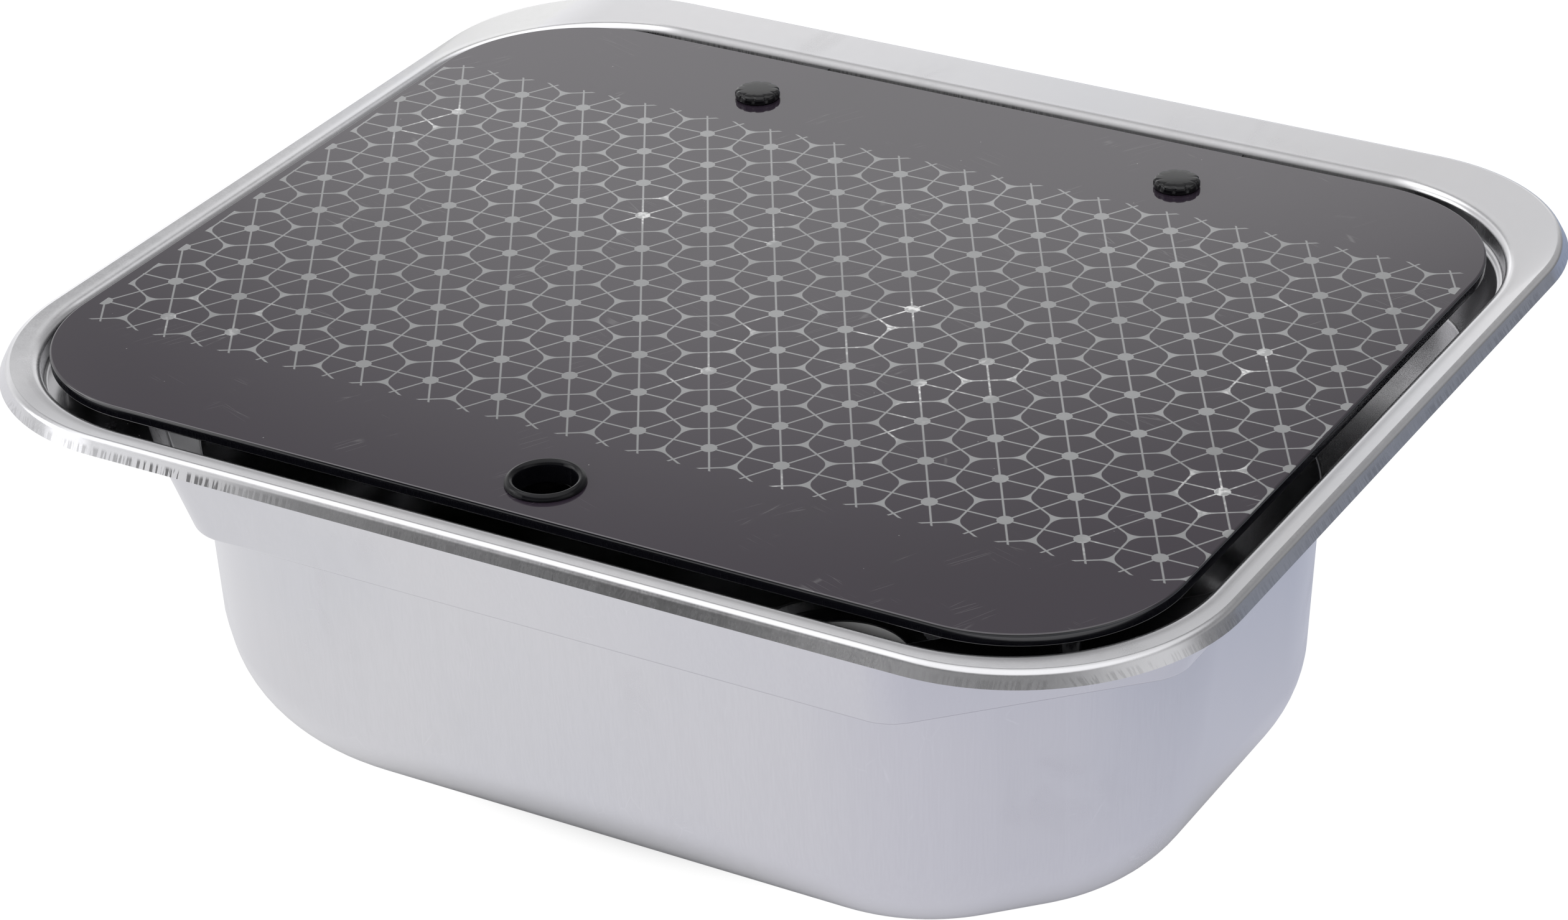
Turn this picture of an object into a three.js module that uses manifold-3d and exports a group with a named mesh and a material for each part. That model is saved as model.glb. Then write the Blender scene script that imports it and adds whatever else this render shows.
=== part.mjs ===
// Drop-in caravan sink in pressed stainless sheet, closed by a hinged lid of toughened black glass.
// Millimetres, +Z up. The origin is the centre of the rim's outline on the worktop; the front is -Y.

import * as THREE from 'three';
import { mergeVertices } from 'three/addons/utils/BufferGeometryUtils.js';
import Module from 'manifold-3d';

const wasm = await Module();
wasm.setup();

// Sheet and fits
const SHEET = 0.8; // thickness of the pressed sheet
const SEAT_GAP = 0.3; // left between pieces that rest on each other
const PIN_CLEARANCE = 0.09; // radial, pin in its holes
const HOLE_CLEARANCE = 0.3; // radial, rivet, screw, bush and grommet in their holes

// Rim
const RIM_LENGTH = 500; // along X
const RIM_WIDTH = 438; // along Y
const RIM_HEIGHT = 5.5; // highest line of the rim over the worktop
const RIM_CORNER_FRONT = 84.5;
const RIM_CORNER_BACK = 78;
const RIM_BEAD = 3; // radius of the rounded outer edge
const RIM_SKIRT_LEAN = 28; // degrees, the skirt splays outwards
const RIM_LAND_SIDE = 14.3; // outline to opening, left and right
const RIM_LAND_FRONT = 13.7;
const RIM_LAND_BACK = 31.5;
const RIM_DISH = 0.35; // the land lies this much below the bead
const OPENING_CORNER = 75;
const OPENING_ROLL = 3.5; // radius at the opening's edge

// Upper section. Its front corners are cut off, which leaves a ledge under the lid's corners.
const LEDGE_DEPTH = 9; // rim's highest line to the ledge
const LEDGE_INSET = 2.4; // opening to the ledge's inner edge, along the straight sides
const LEDGE_BEND = 1.5; // radius from the opening's wall into the ledge and out of it
const LEDGE_CUT = 86; // leg of the cut-off corners at the ledge
const LEDGE_CUT_ROUND = 20;
const RECESS_DEPTH = 44.5; // rim's highest line to the shelf
const RECESS_INSET = 15.5; // opening to the upper section at the shelf, left and right
const RECESS_TAPER_BACK = 5; // how far the back wall leans in
const RECESS_FILLET = 1.5;
const RECESS_WALL_TILT = 15; // degrees, where the bends above and below hand over to the wall
const RECESS_BACK_CORNER = 60;
const RECESS_CUT_LEFT = 81; // leg of the cut-off front left corner, at the shelf

// Bowl
const BOWL_INSET_LEFT = 27.8; // opening to the bowl's edge
const BOWL_INSET_RIGHT = 18.7;
const BOWL_INSET_FRONT = 14.3;
const TAP_SHELF = 93.9; // opening's back edge to the bowl's, where the shelf for the tap lies
const BOWL_DEPTH = 152.1; // rim's highest line to the floor
const BOWL_EDGE = 1.5; // radius where the shelf turns down
const BOWL_DRAFT = 5.6; // degrees
const BOWL_FLOOR_FILLET = 42.8;
const BOWL_CUT_LEFT = 81.4; // leg of the flattened front left corner
const BOWL_CUT_LEFT_ROUND = 126.8;
const BOWL_CUT_RIGHT = 72; // leg of the flattened front right corner
const BOWL_CUT_RIGHT_ROUND = 94.6;
const BOWL_CORNER_BACK = 116;
const BOWL_CORNER_TIGHTEN = 8.5; // the corners' radii shrink by this much down the wall
const FRONT_SHELF = 0.2; // flat left between the upper section and the bowl

// Drain and tap hole
const DRAIN_SHIFT = 12.45; // right of the bowl's middle
const DRAIN_INSET = 95.6; // centre to the bowl's back edge
const DRAIN_RADIUS = 28.5;
const DIMPLE_RADIUS = 41;
const DIMPLE_DEPTH = 4;
const DIMPLE_FILLET = 1.5;
const FLOOR_FALL = 1.2;
const TAP_HOLE_RADIUS = 17.5;

// Lid
const LID_SIDE_GAP = 6.2; // glass to the opening, left and right
const LID_FRONT_GAP = 6.5;
const LID_BACK_GAP = 14.3; // room for the hinges
const LID_CORNER = 62;
const LID_THICKNESS = 5;
const LID_PROUD = 3.9; // glass top over the rim
const LID_ARRIS = 0.8; // ground edge

// Finger hole and its grommet
const FINGER_HOLE_RADIUS = 13;
const FINGER_HOLE_X = 1.5; // off the middle line, as made
const FINGER_HOLE_INSET = 23.1; // centre to the glass's front edge
const GROMMET_RADIUS = 14.65;
const GROMMET_BORE = 11.1;
const GROMMET_RISE = 2.1;
const GROMMET_DROP = 1.8;

// Hinges
const HINGE_SPACING = 189;
const HINGE_SCREW_INSET = 36.2; // screw to the glass's back edge
const HINGE_PIN_BEHIND = 5; // glass's back edge to the pin, which lies in the gap behind the glass
const HINGE_PIN_DROP = 2.4; // pin to the glass's underside
const PIN_RADIUS = 2;
const PIN_HEAD_RADIUS = 3.2;
const PIN_HEAD = 1.3;
const KNUCKLE_RADIUS = 3.6;
const KNUCKLE_WIDTH = 12;
const ARM_THICKNESS = 2;
const ARM_TAB_WIDTH = 24;
const ARM_TAB_LENGTH = 24;
const ARM_HEEL = 7.5; // pin's axis to the tip of the heel that stops the lid
const ARM_HEEL_HALF = 1.6; // half the heel's thickness
const ARM_HEEL_ANGLE = 0; // degrees from +Y towards +Z, lid closed
const LID_STOP = 95; // degrees, where the heel meets the bracket's web
const WEB_DROP = 4.2; // pin's axis to the web's top
const PAD_RADIUS = 11;
const PAD_THICKNESS = 1.5;
const SCREW_RADIUS = 2.5;
const SCREW_HEAD_RADIUS = 4.8;
const SCREW_HEAD = 1.5;
const SCREW_TAIL = 1.2; // below the nut
const BUSH_WALL = 1.7;
const NUT_FLATS = 8;
const NUT_HEIGHT = 4;
const CAP_RADIUS = 9.2;
const CAP_HEIGHT = 3.3;
const CAP_WALL = 1.2;
const CAP_FLUTES = 10;
const CAP_FLUTE_RADIUS = 1.8;
const CAP_FLUTE_DEPTH = 0.5;
const BRACKET_SHEET = 1.5;
const BRACKET_SIDE_GAP = 0.3; // knuckle to each ear
const BRACKET_FOOT_LENGTH = 33;
const BRACKET_FOOT_WIDTH = 19; // foot's front edge to the web's back face
const BRACKET_EAR_RADIUS = 4;
const BRACKET_EAR_DROP = 17; // pin's axis to the ears' lower end, where the web starts to widen
const RIVET_SPACING = 23;
const RIVET_INSET = 8; // foot's front edge to the rivets
const RIVET_RADIUS = 2;
const RIVET_HEAD_RADIUS = 3.6;
const RIVET_HEAD = 1.4;
const RIVET_TAIL = 2;

// Lid bumpers and rim seal
const BUMPER_TOP_RADIUS = 6;
const BUMPER_FOOT_RADIUS = 4.5;
const BUMPER_INSET = 9; // centre to the glass's edge, across the corner
const SEAL_INSET = 4.4; // rim outline to the seal
const SEAL_WIDTH = 5.4;

// Facets
const CORNER_STEPS = 5; // per 45 degrees of a corner
const FILLET_STEPS = 7;
const ROUND_STEPS = 24; // per turn, small round pieces

const QUARTER = Math.PI / 2;
const EIGHTH = Math.PI / 4;
const CUT_RATIO = 2 - Math.SQRT2; // leg of the cut that just touches a quarter circle of radius 1

// Levels
const lidTop = RIM_HEIGHT + LID_PROUD;
const lidUnder = lidTop - LID_THICKNESS;
const shelfTop = RIM_HEIGHT - RECESS_DEPTH;
const floorTop = RIM_HEIGHT - BOWL_DEPTH;
const ledgeTop = RIM_HEIGHT - LEDGE_DEPTH;
const landLevel = RIM_HEIGHT - RIM_DISH;

const materials = {
  steel: { color: 0xc9cbce, roughness: 0.32, metalness: 1 },
  hardware: { color: 0xb4b6b8, roughness: 0.28, metalness: 1 },
  glass: { color: 0x2b292b, roughness: 0.06, metalness: 0 },
  rubber: { color: 0x0c0c0e, roughness: 0.3, metalness: 0 },
  cap: { color: 0x08080a, roughness: 0.15, metalness: 0 },
  nylon: { color: 0xd8d8d2, roughness: 0.5, metalness: 0 },
  foam: { color: 0x1b1b1c, roughness: 0.9, metalness: 0 },
};

const sink = new THREE.Group();

function addPart(name, geometry, finish) {
  const mesh = new THREE.Mesh(geometry, new THREE.MeshStandardMaterial(materials[finish]));
  mesh.name = name;
  sink.add(mesh);
  return mesh;
}

// Closed mesh with shared corners and no flat triangles
function weld(geometry) {
  const bare = geometry.clone();
  bare.deleteAttribute('normal');
  bare.deleteAttribute('uv');
  const merged = mergeVertices(bare, 1e-4);
  const index = Array.from(merged.index.array);
  const kept = [];
  for (let i = 0; i < index.length; i += 3) {
    const [a, b, c] = index.slice(i, i + 3);
    if (a !== b && b !== c && c !== a) kept.push(a, b, c);
  }
  merged.setIndex(kept);
  return merged;
}

function toSolid(geometry) {
  const welded = weld(geometry);
  const vertProperties = Float32Array.from(welded.attributes.position.array);
  const triVerts = Uint32Array.from(welded.index.array);
  return new wasm.Manifold(new wasm.Mesh({ numProp: 3, vertProperties, triVerts }));
}

function toGeometry(solid) {
  const { vertProperties, triVerts } = solid.getMesh();
  const geometry = new THREE.BufferGeometry();
  geometry.setAttribute('position', new THREE.BufferAttribute(Float32Array.from(vertProperties), 3));
  geometry.setIndex(new THREE.BufferAttribute(Uint32Array.from(triVerts), 1));
  return geometry;
}

// Plans: a rectangle whose corners are cut at 45 degrees and rounded at both ends of the cut.
// A quarter-round corner is the case where the two roundings meet.
const cut = (leg, round) => ({ leg, round });
const quarter = (radius) => cut(radius * CUT_RATIO, radius);

// corners: front right, back right, back left, front left
function plan(left, right, front, back, corners) {
  return { left, right, front, back, corners };
}

function grow(shape, by) {
  const corners = shape.corners.map(({ leg, round }) => cut(leg + by * CUT_RATIO, round + by));
  return plan(shape.left - by, shape.right + by, shape.front - by, shape.back + by, corners);
}

function disc(x, y, radius) {
  return plan(x - radius, x + radius, y - radius, y + radius, Array(4).fill(quarter(radius)));
}

// The plan's outline, anticlockwise, always with the same number of points
function outline({ left, right, front, back, corners }) {
  const sharp = [[right, front], [right, back], [left, back], [left, front]];
  return sharp.flatMap(([x, y], i) => {
    const { leg, round } = corners[i];
    const heading = i * QUARTER;
    const along = new THREE.Vector2(Math.cos(heading), Math.sin(heading));
    const across = new THREE.Vector2(-along.y, along.x);
    const reach = leg + round * Math.tan(EIGHTH / 2);
    const corner = new THREE.Vector2(x, y);
    const first = corner.clone().addScaledVector(along, -reach).addScaledVector(across, round);
    const second = corner.clone().addScaledVector(across, reach).addScaledVector(along, -round);
    return [
      ...arcPoints(first, round, heading - QUARTER),
      ...arcPoints(second, round, heading - EIGHTH),
    ];
  });
}

function arcPoints(centre, radius, start) {
  const arc = new THREE.EllipseCurve(centre.x, centre.y, radius, radius, start, start + EIGHTH, false);
  return arc.getPoints(CORNER_STEPS);
}

// Distance from the origin to the cut of a front corner, measured square to the cut
function cutDistance(shape, side) {
  const { leg } = side > 0 ? shape.corners[0] : shape.corners[3];
  const reach = side > 0 ? shape.right : -shape.left;
  return (reach - shape.front - leg) * Math.SQRT1_2;
}

function shapeOf(outer, ...holes) {
  const shape = new THREE.Shape(outline(outer));
  shape.holes.push(...holes.map((hole) => new THREE.Path(outline(hole).reverse())));
  return shape;
}

// Skin through closed rings with equal counts of points; the last ring joins the first
function ringSkin(rings) {
  const count = rings[0].length;
  const index = [];
  rings.forEach((_, i) => {
    const next = (i + 1) % rings.length;
    for (let j = 0; j < count; j += 1) {
      const k = (j + 1) % count;
      const [a, b, c, d] = [i * count + j, i * count + k, next * count + k, next * count + j];
      index.push(a, b, c, a, c, d);
    }
  });
  const geometry = new THREE.BufferGeometry();
  geometry.setFromPoints(rings.flat());
  geometry.setIndex(index);
  return geometry;
}

// One station of the pressed sheet. tilt is the upper face's normal in degrees:
// 0 looks into the sink, 90 up, 180 out of it.
const station = (shape, z, tilt) => ({ shape, z, tilt });

function pressedSheet(stations) {
  const upper = stations.map(({ shape, z }) => outline(shape).map((p) => new THREE.Vector3(p.x, p.y, z)));
  const lower = stations.map(({ shape, z, tilt }) => {
    const angle = THREE.MathUtils.degToRad(tilt);
    const level = z - SHEET * Math.sin(angle);
    return outline(grow(shape, SHEET * Math.cos(angle))).map((p) => new THREE.Vector3(p.x, p.y, level));
  });
  return ringSkin([...upper, ...lower.reverse()]);
}

// Stations round an edge that turns over (the sheet's upper face is outside the bend).
// shape is the plan where the face looks straight in, z is the level where it looks up.
function rolled(shape, z, radius, fromTilt, toTilt, steps) {
  return Array.from({ length: steps + 1 }, (_, i) => {
    const tilt = fromTilt + ((toTilt - fromTilt) * i) / steps;
    const angle = THREE.MathUtils.degToRad(tilt);
    return station(grow(shape, radius * (1 - Math.cos(angle))), z - radius * (1 - Math.sin(angle)), tilt);
  });
}

// Stations down a fillet at the foot of a wall (the upper face is inside the bend)
function filleted(shape, z, radius, fromTilt, steps) {
  return Array.from({ length: steps + 1 }, (_, i) => {
    const tilt = fromTilt + ((90 - fromTilt) * i) / steps;
    const angle = THREE.MathUtils.degToRad(tilt);
    return station(grow(shape, -radius * (1 - Math.cos(angle))), z + radius * (1 - Math.sin(angle)), tilt);
  });
}

const halfLength = RIM_LENGTH / 2;
const halfWidth = RIM_WIDTH / 2;
const rimCorners = [RIM_CORNER_FRONT, RIM_CORNER_BACK, RIM_CORNER_BACK, RIM_CORNER_FRONT].map(quarter);
const rimPlan = plan(-halfLength, halfLength, -halfWidth, halfWidth, rimCorners);
const openingPlan = plan(
  -halfLength + RIM_LAND_SIDE,
  halfLength - RIM_LAND_SIDE,
  -halfWidth + RIM_LAND_FRONT,
  halfWidth - RIM_LAND_BACK,
  Array(4).fill(quarter(OPENING_CORNER)),
);

const bowlLeft = openingPlan.left + BOWL_INSET_LEFT;
const bowlRight = openingPlan.right - BOWL_INSET_RIGHT;
const bowlFront = openingPlan.front + BOWL_INSET_FRONT;
const bowlBack = openingPlan.back - TAP_SHELF;
const bowlPlan = plan(bowlLeft, bowlRight, bowlFront, bowlBack, [
  cut(BOWL_CUT_RIGHT, BOWL_CUT_RIGHT_ROUND),
  quarter(BOWL_CORNER_BACK),
  quarter(BOWL_CORNER_BACK),
  cut(BOWL_CUT_LEFT, BOWL_CUT_LEFT_ROUND),
]);

// The ledge's inner edge: the opening drawn in a little, its front corners cut off
const ledgePlan = grow(openingPlan, -LEDGE_INSET);
ledgePlan.corners[0] = cut(LEDGE_CUT, LEDGE_CUT_ROUND);
ledgePlan.corners[3] = cut(LEDGE_CUT, LEDGE_CUT_ROUND);

// At the shelf, the right cut runs just outside the bowl's flattened corner
const shelfRun = BOWL_EDGE + FRONT_SHELF + RECESS_FILLET;
const recessFront = bowlFront - shelfRun;
const recessHalf = openingPlan.right - RECESS_INSET;
const rightCut = recessHalf - recessFront - (cutDistance(bowlPlan, 1) + shelfRun) * Math.SQRT2;
const recessPlan = plan(-recessHalf, recessHalf, recessFront, ledgePlan.back - RECESS_TAPER_BACK, [
  cut(rightCut, LEDGE_CUT_ROUND),
  quarter(RECESS_BACK_CORNER),
  quarter(RECESS_BACK_CORNER),
  cut(RECESS_CUT_LEFT, LEDGE_CUT_ROUND),
]);

const openingEdge = rolled(openingPlan, landLevel, OPENING_ROLL, 90, RECESS_WALL_TILT, 3);
const recessFoot = filleted(recessPlan, shelfTop, RECESS_FILLET, RECESS_WALL_TILT, 2);

// The bends either side of the ledge are drawn as one station each, halfway round
function ledgeStations() {
  const outer = grow(openingPlan, -LEDGE_BEND / 4);
  return [
    station(outer, ledgeTop + LEDGE_BEND, RECESS_WALL_TILT),
    station(grow(outer, -LEDGE_BEND / 2), ledgeTop, 55),
    station(ledgePlan, ledgeTop - LEDGE_BEND / 4, 55),
    station(grow(ledgePlan, -LEDGE_BEND / 2), ledgeTop - LEDGE_BEND, RECESS_WALL_TILT),
  ];
}

function rimStations() {
  const lean = 180 - RIM_SKIRT_LEAN;
  const beadFoot = RIM_HEIGHT - RIM_BEAD * (1 - Math.sin(THREE.MathUtils.degToRad(lean)));
  const splay = beadFoot * Math.tan(THREE.MathUtils.degToRad(RIM_SKIRT_LEAN));
  // the bead turned over from the skirt; grown so that its foot meets the splayed skirt
  const beadPlan = grow(rimPlan, -splay - RIM_BEAD * (1 - Math.cos(THREE.MathUtils.degToRad(lean))));
  const landPlan = grow(openingPlan, OPENING_ROLL);
  return [
    station(rimPlan, 0, 180),
    ...rolled(beadPlan, RIM_HEIGHT, RIM_BEAD, lean, 90, 4),
    station(grow(landPlan, 2), landLevel, 90),
    ...openingEdge,
  ];
}

function bowlStations() {
  const wallFoot = floorTop + BOWL_FLOOR_FILLET;
  const wallHead = shelfTop - BOWL_EDGE;
  const drift = (wallHead - wallFoot) * Math.tan(THREE.MathUtils.degToRad(BOWL_DRAFT));
  const foot = grow(bowlPlan, -drift);
  foot.corners = foot.corners.map(({ leg, round }) =>
    cut(leg - BOWL_CORNER_TIGHTEN * CUT_RATIO, round - BOWL_CORNER_TIGHTEN));
  const edge = floorTop - FLOOR_FALL;
  const dimpleFloor = edge - DIMPLE_DEPTH;
  const drainX = (bowlLeft + bowlRight) / 2 + DRAIN_SHIFT;
  const dimple = (radius) => disc(drainX, bowlBack - DRAIN_INSET, radius);
  const dimpleFoot = DIMPLE_RADIUS - DIMPLE_FILLET * 2;
  return [
    ...rolled(bowlPlan, shelfTop, BOWL_EDGE, 90, BOWL_DRAFT, 3),
    ...filleted(foot, floorTop, BOWL_FLOOR_FILLET, BOWL_DRAFT, FILLET_STEPS),
    station(dimple(DIMPLE_RADIUS), edge, 90),
    station(dimple(DIMPLE_RADIUS - DIMPLE_FILLET), edge - DIMPLE_FILLET / 2, 60),
    station(dimple(dimpleFoot), dimpleFloor + DIMPLE_FILLET / 2, 60),
    station(dimple(dimpleFoot - DIMPLE_FILLET), dimpleFloor, 90),
    station(dimple(DRAIN_RADIUS), dimpleFloor, 90),
  ];
}

const lidBack = openingPlan.back - LID_BACK_GAP;
const hingeY = lidBack - HINGE_SCREW_INSET;
const pinY = lidBack + HINGE_PIN_BEHIND;
const pinZ = lidUnder - HINGE_PIN_DROP;
const tapY = (bowlBack + recessPlan.back) / 2;

// Point on the arm's heel in the Y-Z plane, with the lid opened by so many degrees
function heelPoint(reach, edge, opened) {
  const angle = THREE.MathUtils.degToRad(ARM_HEEL_ANGLE - opened);
  const across = edge * ARM_HEEL_HALF;
  const y = pinY + reach * Math.cos(angle) - across * Math.sin(angle);
  const z = pinZ + reach * Math.sin(angle) + across * Math.cos(angle);
  return [y, z];
}

const webBack = heelPoint(ARM_HEEL, -1, LID_STOP)[0] - SEAT_GAP;
const footFront = webBack - BRACKET_FOOT_WIDTH;
const footUnder = shelfTop + SEAT_GAP;
const rivetY = footFront + RIVET_INSET;

function uprightCylinder(x, y, radius, low, high, steps = ROUND_STEPS) {
  const geometry = new THREE.CylinderGeometry(radius, radius, high - low, steps);
  geometry.rotateX(QUARTER);
  geometry.translate(x, y, (low + high) / 2);
  return geometry;
}

function makeSink() {
  const stations = [
    ...rimStations(),
    ...ledgeStations(),
    ...recessFoot,
    ...bowlStations(),
  ];
  let body = toSolid(pressedSheet(stations));
  const through = [shelfTop - SHEET * 3, shelfTop + SHEET * 3];
  body = body.subtract(toSolid(uprightCylinder(0, tapY, TAP_HOLE_RADIUS, ...through, 36)));
  for (const x of rivetPlaces([-1, 1])) {
    body = body.subtract(toSolid(uprightCylinder(x, rivetY, RIVET_RADIUS + HOLE_CLEARANCE, ...through, 12)));
  }
  addPart('sink_bowl', toGeometry(body), 'steel');
}

function rivetPlaces(sides) {
  return sides.flatMap((side) => [-1, 1].map((end) => (side * HINGE_SPACING + end * RIVET_SPACING) / 2));
}

function makeSeal() {
  const outer = grow(rimPlan, -SEAL_INSET);
  const shape = shapeOf(outer, grow(outer, -SEAL_WIDTH));
  const depth = landLevel - SHEET - SEAT_GAP;
  addPart('rim_seal', new THREE.ExtrudeGeometry(shape, { depth, bevelEnabled: false }), 'foam');
}

const lidFront = openingPlan.front + LID_FRONT_GAP;
const lidHalf = openingPlan.right - LID_SIDE_GAP;
const lidPlan = plan(-lidHalf, lidHalf, lidFront, lidBack, Array(4).fill(quarter(LID_CORNER)));
const fingerY = lidFront + FINGER_HOLE_INSET;
const bushRadius = SCREW_RADIUS + HOLE_CLEARANCE + BUSH_WALL;

function makeLid() {
  const holes = [
    disc(FINGER_HOLE_X, fingerY, FINGER_HOLE_RADIUS),
    disc(-HINGE_SPACING / 2, hingeY, bushRadius + HOLE_CLEARANCE),
    disc(HINGE_SPACING / 2, hingeY, bushRadius + HOLE_CLEARANCE),
  ];
  const glass = new THREE.ExtrudeGeometry(shapeOf(lidPlan, ...holes), {
    depth: LID_THICKNESS - 2 * LID_ARRIS,
    bevelThickness: LID_ARRIS,
    bevelSize: LID_ARRIS,
    bevelOffset: -LID_ARRIS,
    bevelSegments: 2,
  });
  glass.translate(0, 0, lidUnder + LID_ARRIS);
  addPart('glass_lid', glass, 'glass');
}

function makeGrommet() {
  const groove = FINGER_HOLE_RADIUS - HOLE_CLEARANCE;
  const middle = (GROMMET_RADIUS + GROMMET_BORE) / 2;
  const half = (GROMMET_RADIUS - GROMMET_BORE) / 2;
  const over = lidTop + SEAT_GAP;
  const under = lidUnder - SEAT_GAP;
  const crown = new THREE.EllipseCurve(middle, over, half, GROMMET_RISE, 0, Math.PI, false);
  const foot = new THREE.EllipseCurve(middle, under, half, GROMMET_DROP, Math.PI, 2 * Math.PI, false);
  const profile = [
    new THREE.Vector2(groove, over),
    ...crown.getPoints(6),
    ...foot.getPoints(4),
    new THREE.Vector2(groove, under),
    new THREE.Vector2(groove, over),
  ];
  const ring = new THREE.LatheGeometry(profile, ROUND_STEPS + 4);
  ring.rotateX(QUARTER);
  ring.translate(FINGER_HOLE_X, fingerY, 0);
  addPart('finger_grommet', ring, 'rubber');
}

// Profile of [radius, z] pairs turned about an upright axis at (x, y)
function turned(x, y, pairs, steps = ROUND_STEPS) {
  const geometry = new THREE.LatheGeometry(pairs.map(([r, z]) => new THREE.Vector2(r, z)), steps);
  geometry.rotateX(QUARTER);
  geometry.translate(x, y, 0);
  return geometry;
}

function makeCap(x) {
  const foot = lidTop + SEAT_GAP;
  const crown = foot + CAP_HEIGHT;
  const shoulder = foot + CAP_HEIGHT * 0.55;
  const cavity = CAP_RADIUS - CAP_WALL;
  const ceiling = crown - CAP_WALL * 0.8;
  let cap = toSolid(turned(x, hingeY, [
    [0, ceiling],
    [cavity - 1, ceiling],
    [cavity, foot],
    [CAP_RADIUS - 0.5, foot],
    [CAP_RADIUS, foot + 0.8],
    [CAP_RADIUS, shoulder],
    [CAP_RADIUS * 0.93, crown - 0.9],
    [CAP_RADIUS * 0.75, crown - 0.35],
    [CAP_RADIUS * 0.4, crown - 0.05],
    [0, crown],
  ], 32));
  const reach = CAP_RADIUS + CAP_FLUTE_RADIUS - CAP_FLUTE_DEPTH;
  for (let i = 0; i < CAP_FLUTES; i += 1) {
    const angle = (2 * Math.PI * i) / CAP_FLUTES;
    const [fx, fy] = [x + reach * Math.cos(angle), hingeY + reach * Math.sin(angle)];
    const flute = uprightCylinder(fx, fy, CAP_FLUTE_RADIUS, foot + 1.2, crown + 1, 12);
    cap = cap.subtract(toSolid(flute));
  }
  return toGeometry(cap);
}

const padTop = lidUnder - SEAT_GAP;
const tabTop = padTop - PAD_THICKNESS - SEAT_GAP;
const tabUnder = tabTop - ARM_THICKNESS;
const nutTop = tabUnder - SEAT_GAP;

function makeScrew(x) {
  const seat = lidTop + SEAT_GAP;
  const tip = nutTop - NUT_HEIGHT - SCREW_TAIL;
  return turned(x, hingeY, [
    [0, tip],
    [SCREW_RADIUS - 0.5, tip],
    [SCREW_RADIUS, tip + 0.6],
    [SCREW_RADIUS, seat],
    [SCREW_HEAD_RADIUS, seat],
    [SCREW_HEAD_RADIUS, seat + SCREW_HEAD * 0.5],
    [SCREW_HEAD_RADIUS * 0.7, seat + SCREW_HEAD],
    [0, seat + SCREW_HEAD],
  ]);
}

function ringOf(x, inner, outer, low, high) {
  return turned(x, hingeY, [[inner, low], [outer, low], [outer, high], [inner, high], [inner, low]]);
}

function makeNut(x) {
  const hexagon = new THREE.Shape();
  const reach = NUT_FLATS / Math.sqrt(3);
  for (let i = 0; i < 6; i += 1) {
    const angle = (i * Math.PI) / 3;
    if (i === 0) hexagon.moveTo(reach, 0);
    else hexagon.lineTo(reach * Math.cos(angle), reach * Math.sin(angle));
  }
  const bore = new THREE.Path().absarc(0, 0, SCREW_RADIUS + HOLE_CLEARANCE, 0, 2 * Math.PI, true);
  hexagon.holes.push(bore);
  const nut = new THREE.ExtrudeGeometry(hexagon, { depth: NUT_HEIGHT, bevelEnabled: false, curveSegments: 8 });
  nut.translate(x, hingeY, nutTop - NUT_HEIGHT);
  return nut;
}

// Outline in the Y-Z plane pushed out along X, centred on x
function crossSlab(shape, width, x) {
  const slab = new THREE.ExtrudeGeometry(shape, { depth: width, bevelEnabled: false, curveSegments: 10 });
  const basis = new THREE.Matrix4().makeBasis(
    new THREE.Vector3(0, 1, 0), new THREE.Vector3(0, 0, 1), new THREE.Vector3(1, 0, 0),
  );
  slab.applyMatrix4(basis);
  slab.translate(x - width / 2, 0, 0);
  return slab;
}

// Outline in the X-Z plane about x, pushed out along Y from front
function facingSlab(shape, depth, x, front) {
  const slab = new THREE.ExtrudeGeometry(shape, { depth, bevelEnabled: false });
  slab.rotateX(QUARTER);
  slab.translate(x, front + depth, 0);
  return slab;
}

function acrossCylinder(x, radius, width, y = pinY, z = pinZ) {
  const cylinder = new THREE.CylinderGeometry(radius, radius, width, ROUND_STEPS);
  cylinder.rotateZ(QUARTER);
  cylinder.translate(x, y, z);
  return cylinder;
}

function polygon(pairs) {
  return new THREE.Shape(pairs.map(([y, z]) => new THREE.Vector2(y, z)));
}

// Flat tab under the glass, a neck to the knuckle behind it, and a heel that meets the bracket's web when open
function makeArm(x) {
  const tabFront = hingeY - ARM_TAB_LENGTH / 2;
  const tabBack = hingeY + ARM_TAB_LENGTH / 2;
  const tabPlan = plan(
    x - ARM_TAB_WIDTH / 2, x + ARM_TAB_WIDTH / 2, tabFront, tabBack, Array(4).fill(quarter(4)),
  );
  const tab = new THREE.ExtrudeGeometry(shapeOf(tabPlan), { depth: ARM_THICKNESS, bevelEnabled: false });
  tab.translate(0, 0, tabUnder);
  const neck = polygon([
    [tabBack - 3, tabUnder], [pinY, tabUnder], [pinY, tabTop], [tabBack - 3, tabTop],
  ]);
  const heel = new THREE.Shape();
  heel.moveTo(...heelPoint(0, 1, 0));
  heel.lineTo(...heelPoint(0, -1, 0));
  heel.lineTo(...heelPoint(ARM_HEEL, -1, 0));
  heel.lineTo(...heelPoint(ARM_HEEL, 1, 0));
  const arm = toSolid(tab)
    .add(toSolid(crossSlab(neck, KNUCKLE_WIDTH, x)))
    .add(toSolid(acrossCylinder(x, KNUCKLE_RADIUS, KNUCKLE_WIDTH)))
    .add(toSolid(crossSlab(heel, KNUCKLE_WIDTH, x)))
    .subtract(toSolid(acrossCylinder(x, PIN_RADIUS + PIN_CLEARANCE, KNUCKLE_WIDTH + 2)))
    .subtract(toSolid(uprightCylinder(x, hingeY, SCREW_RADIUS + HOLE_CLEARANCE, tabUnder - 1, tabTop + 1)));
  return toGeometry(arm);
}

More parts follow.
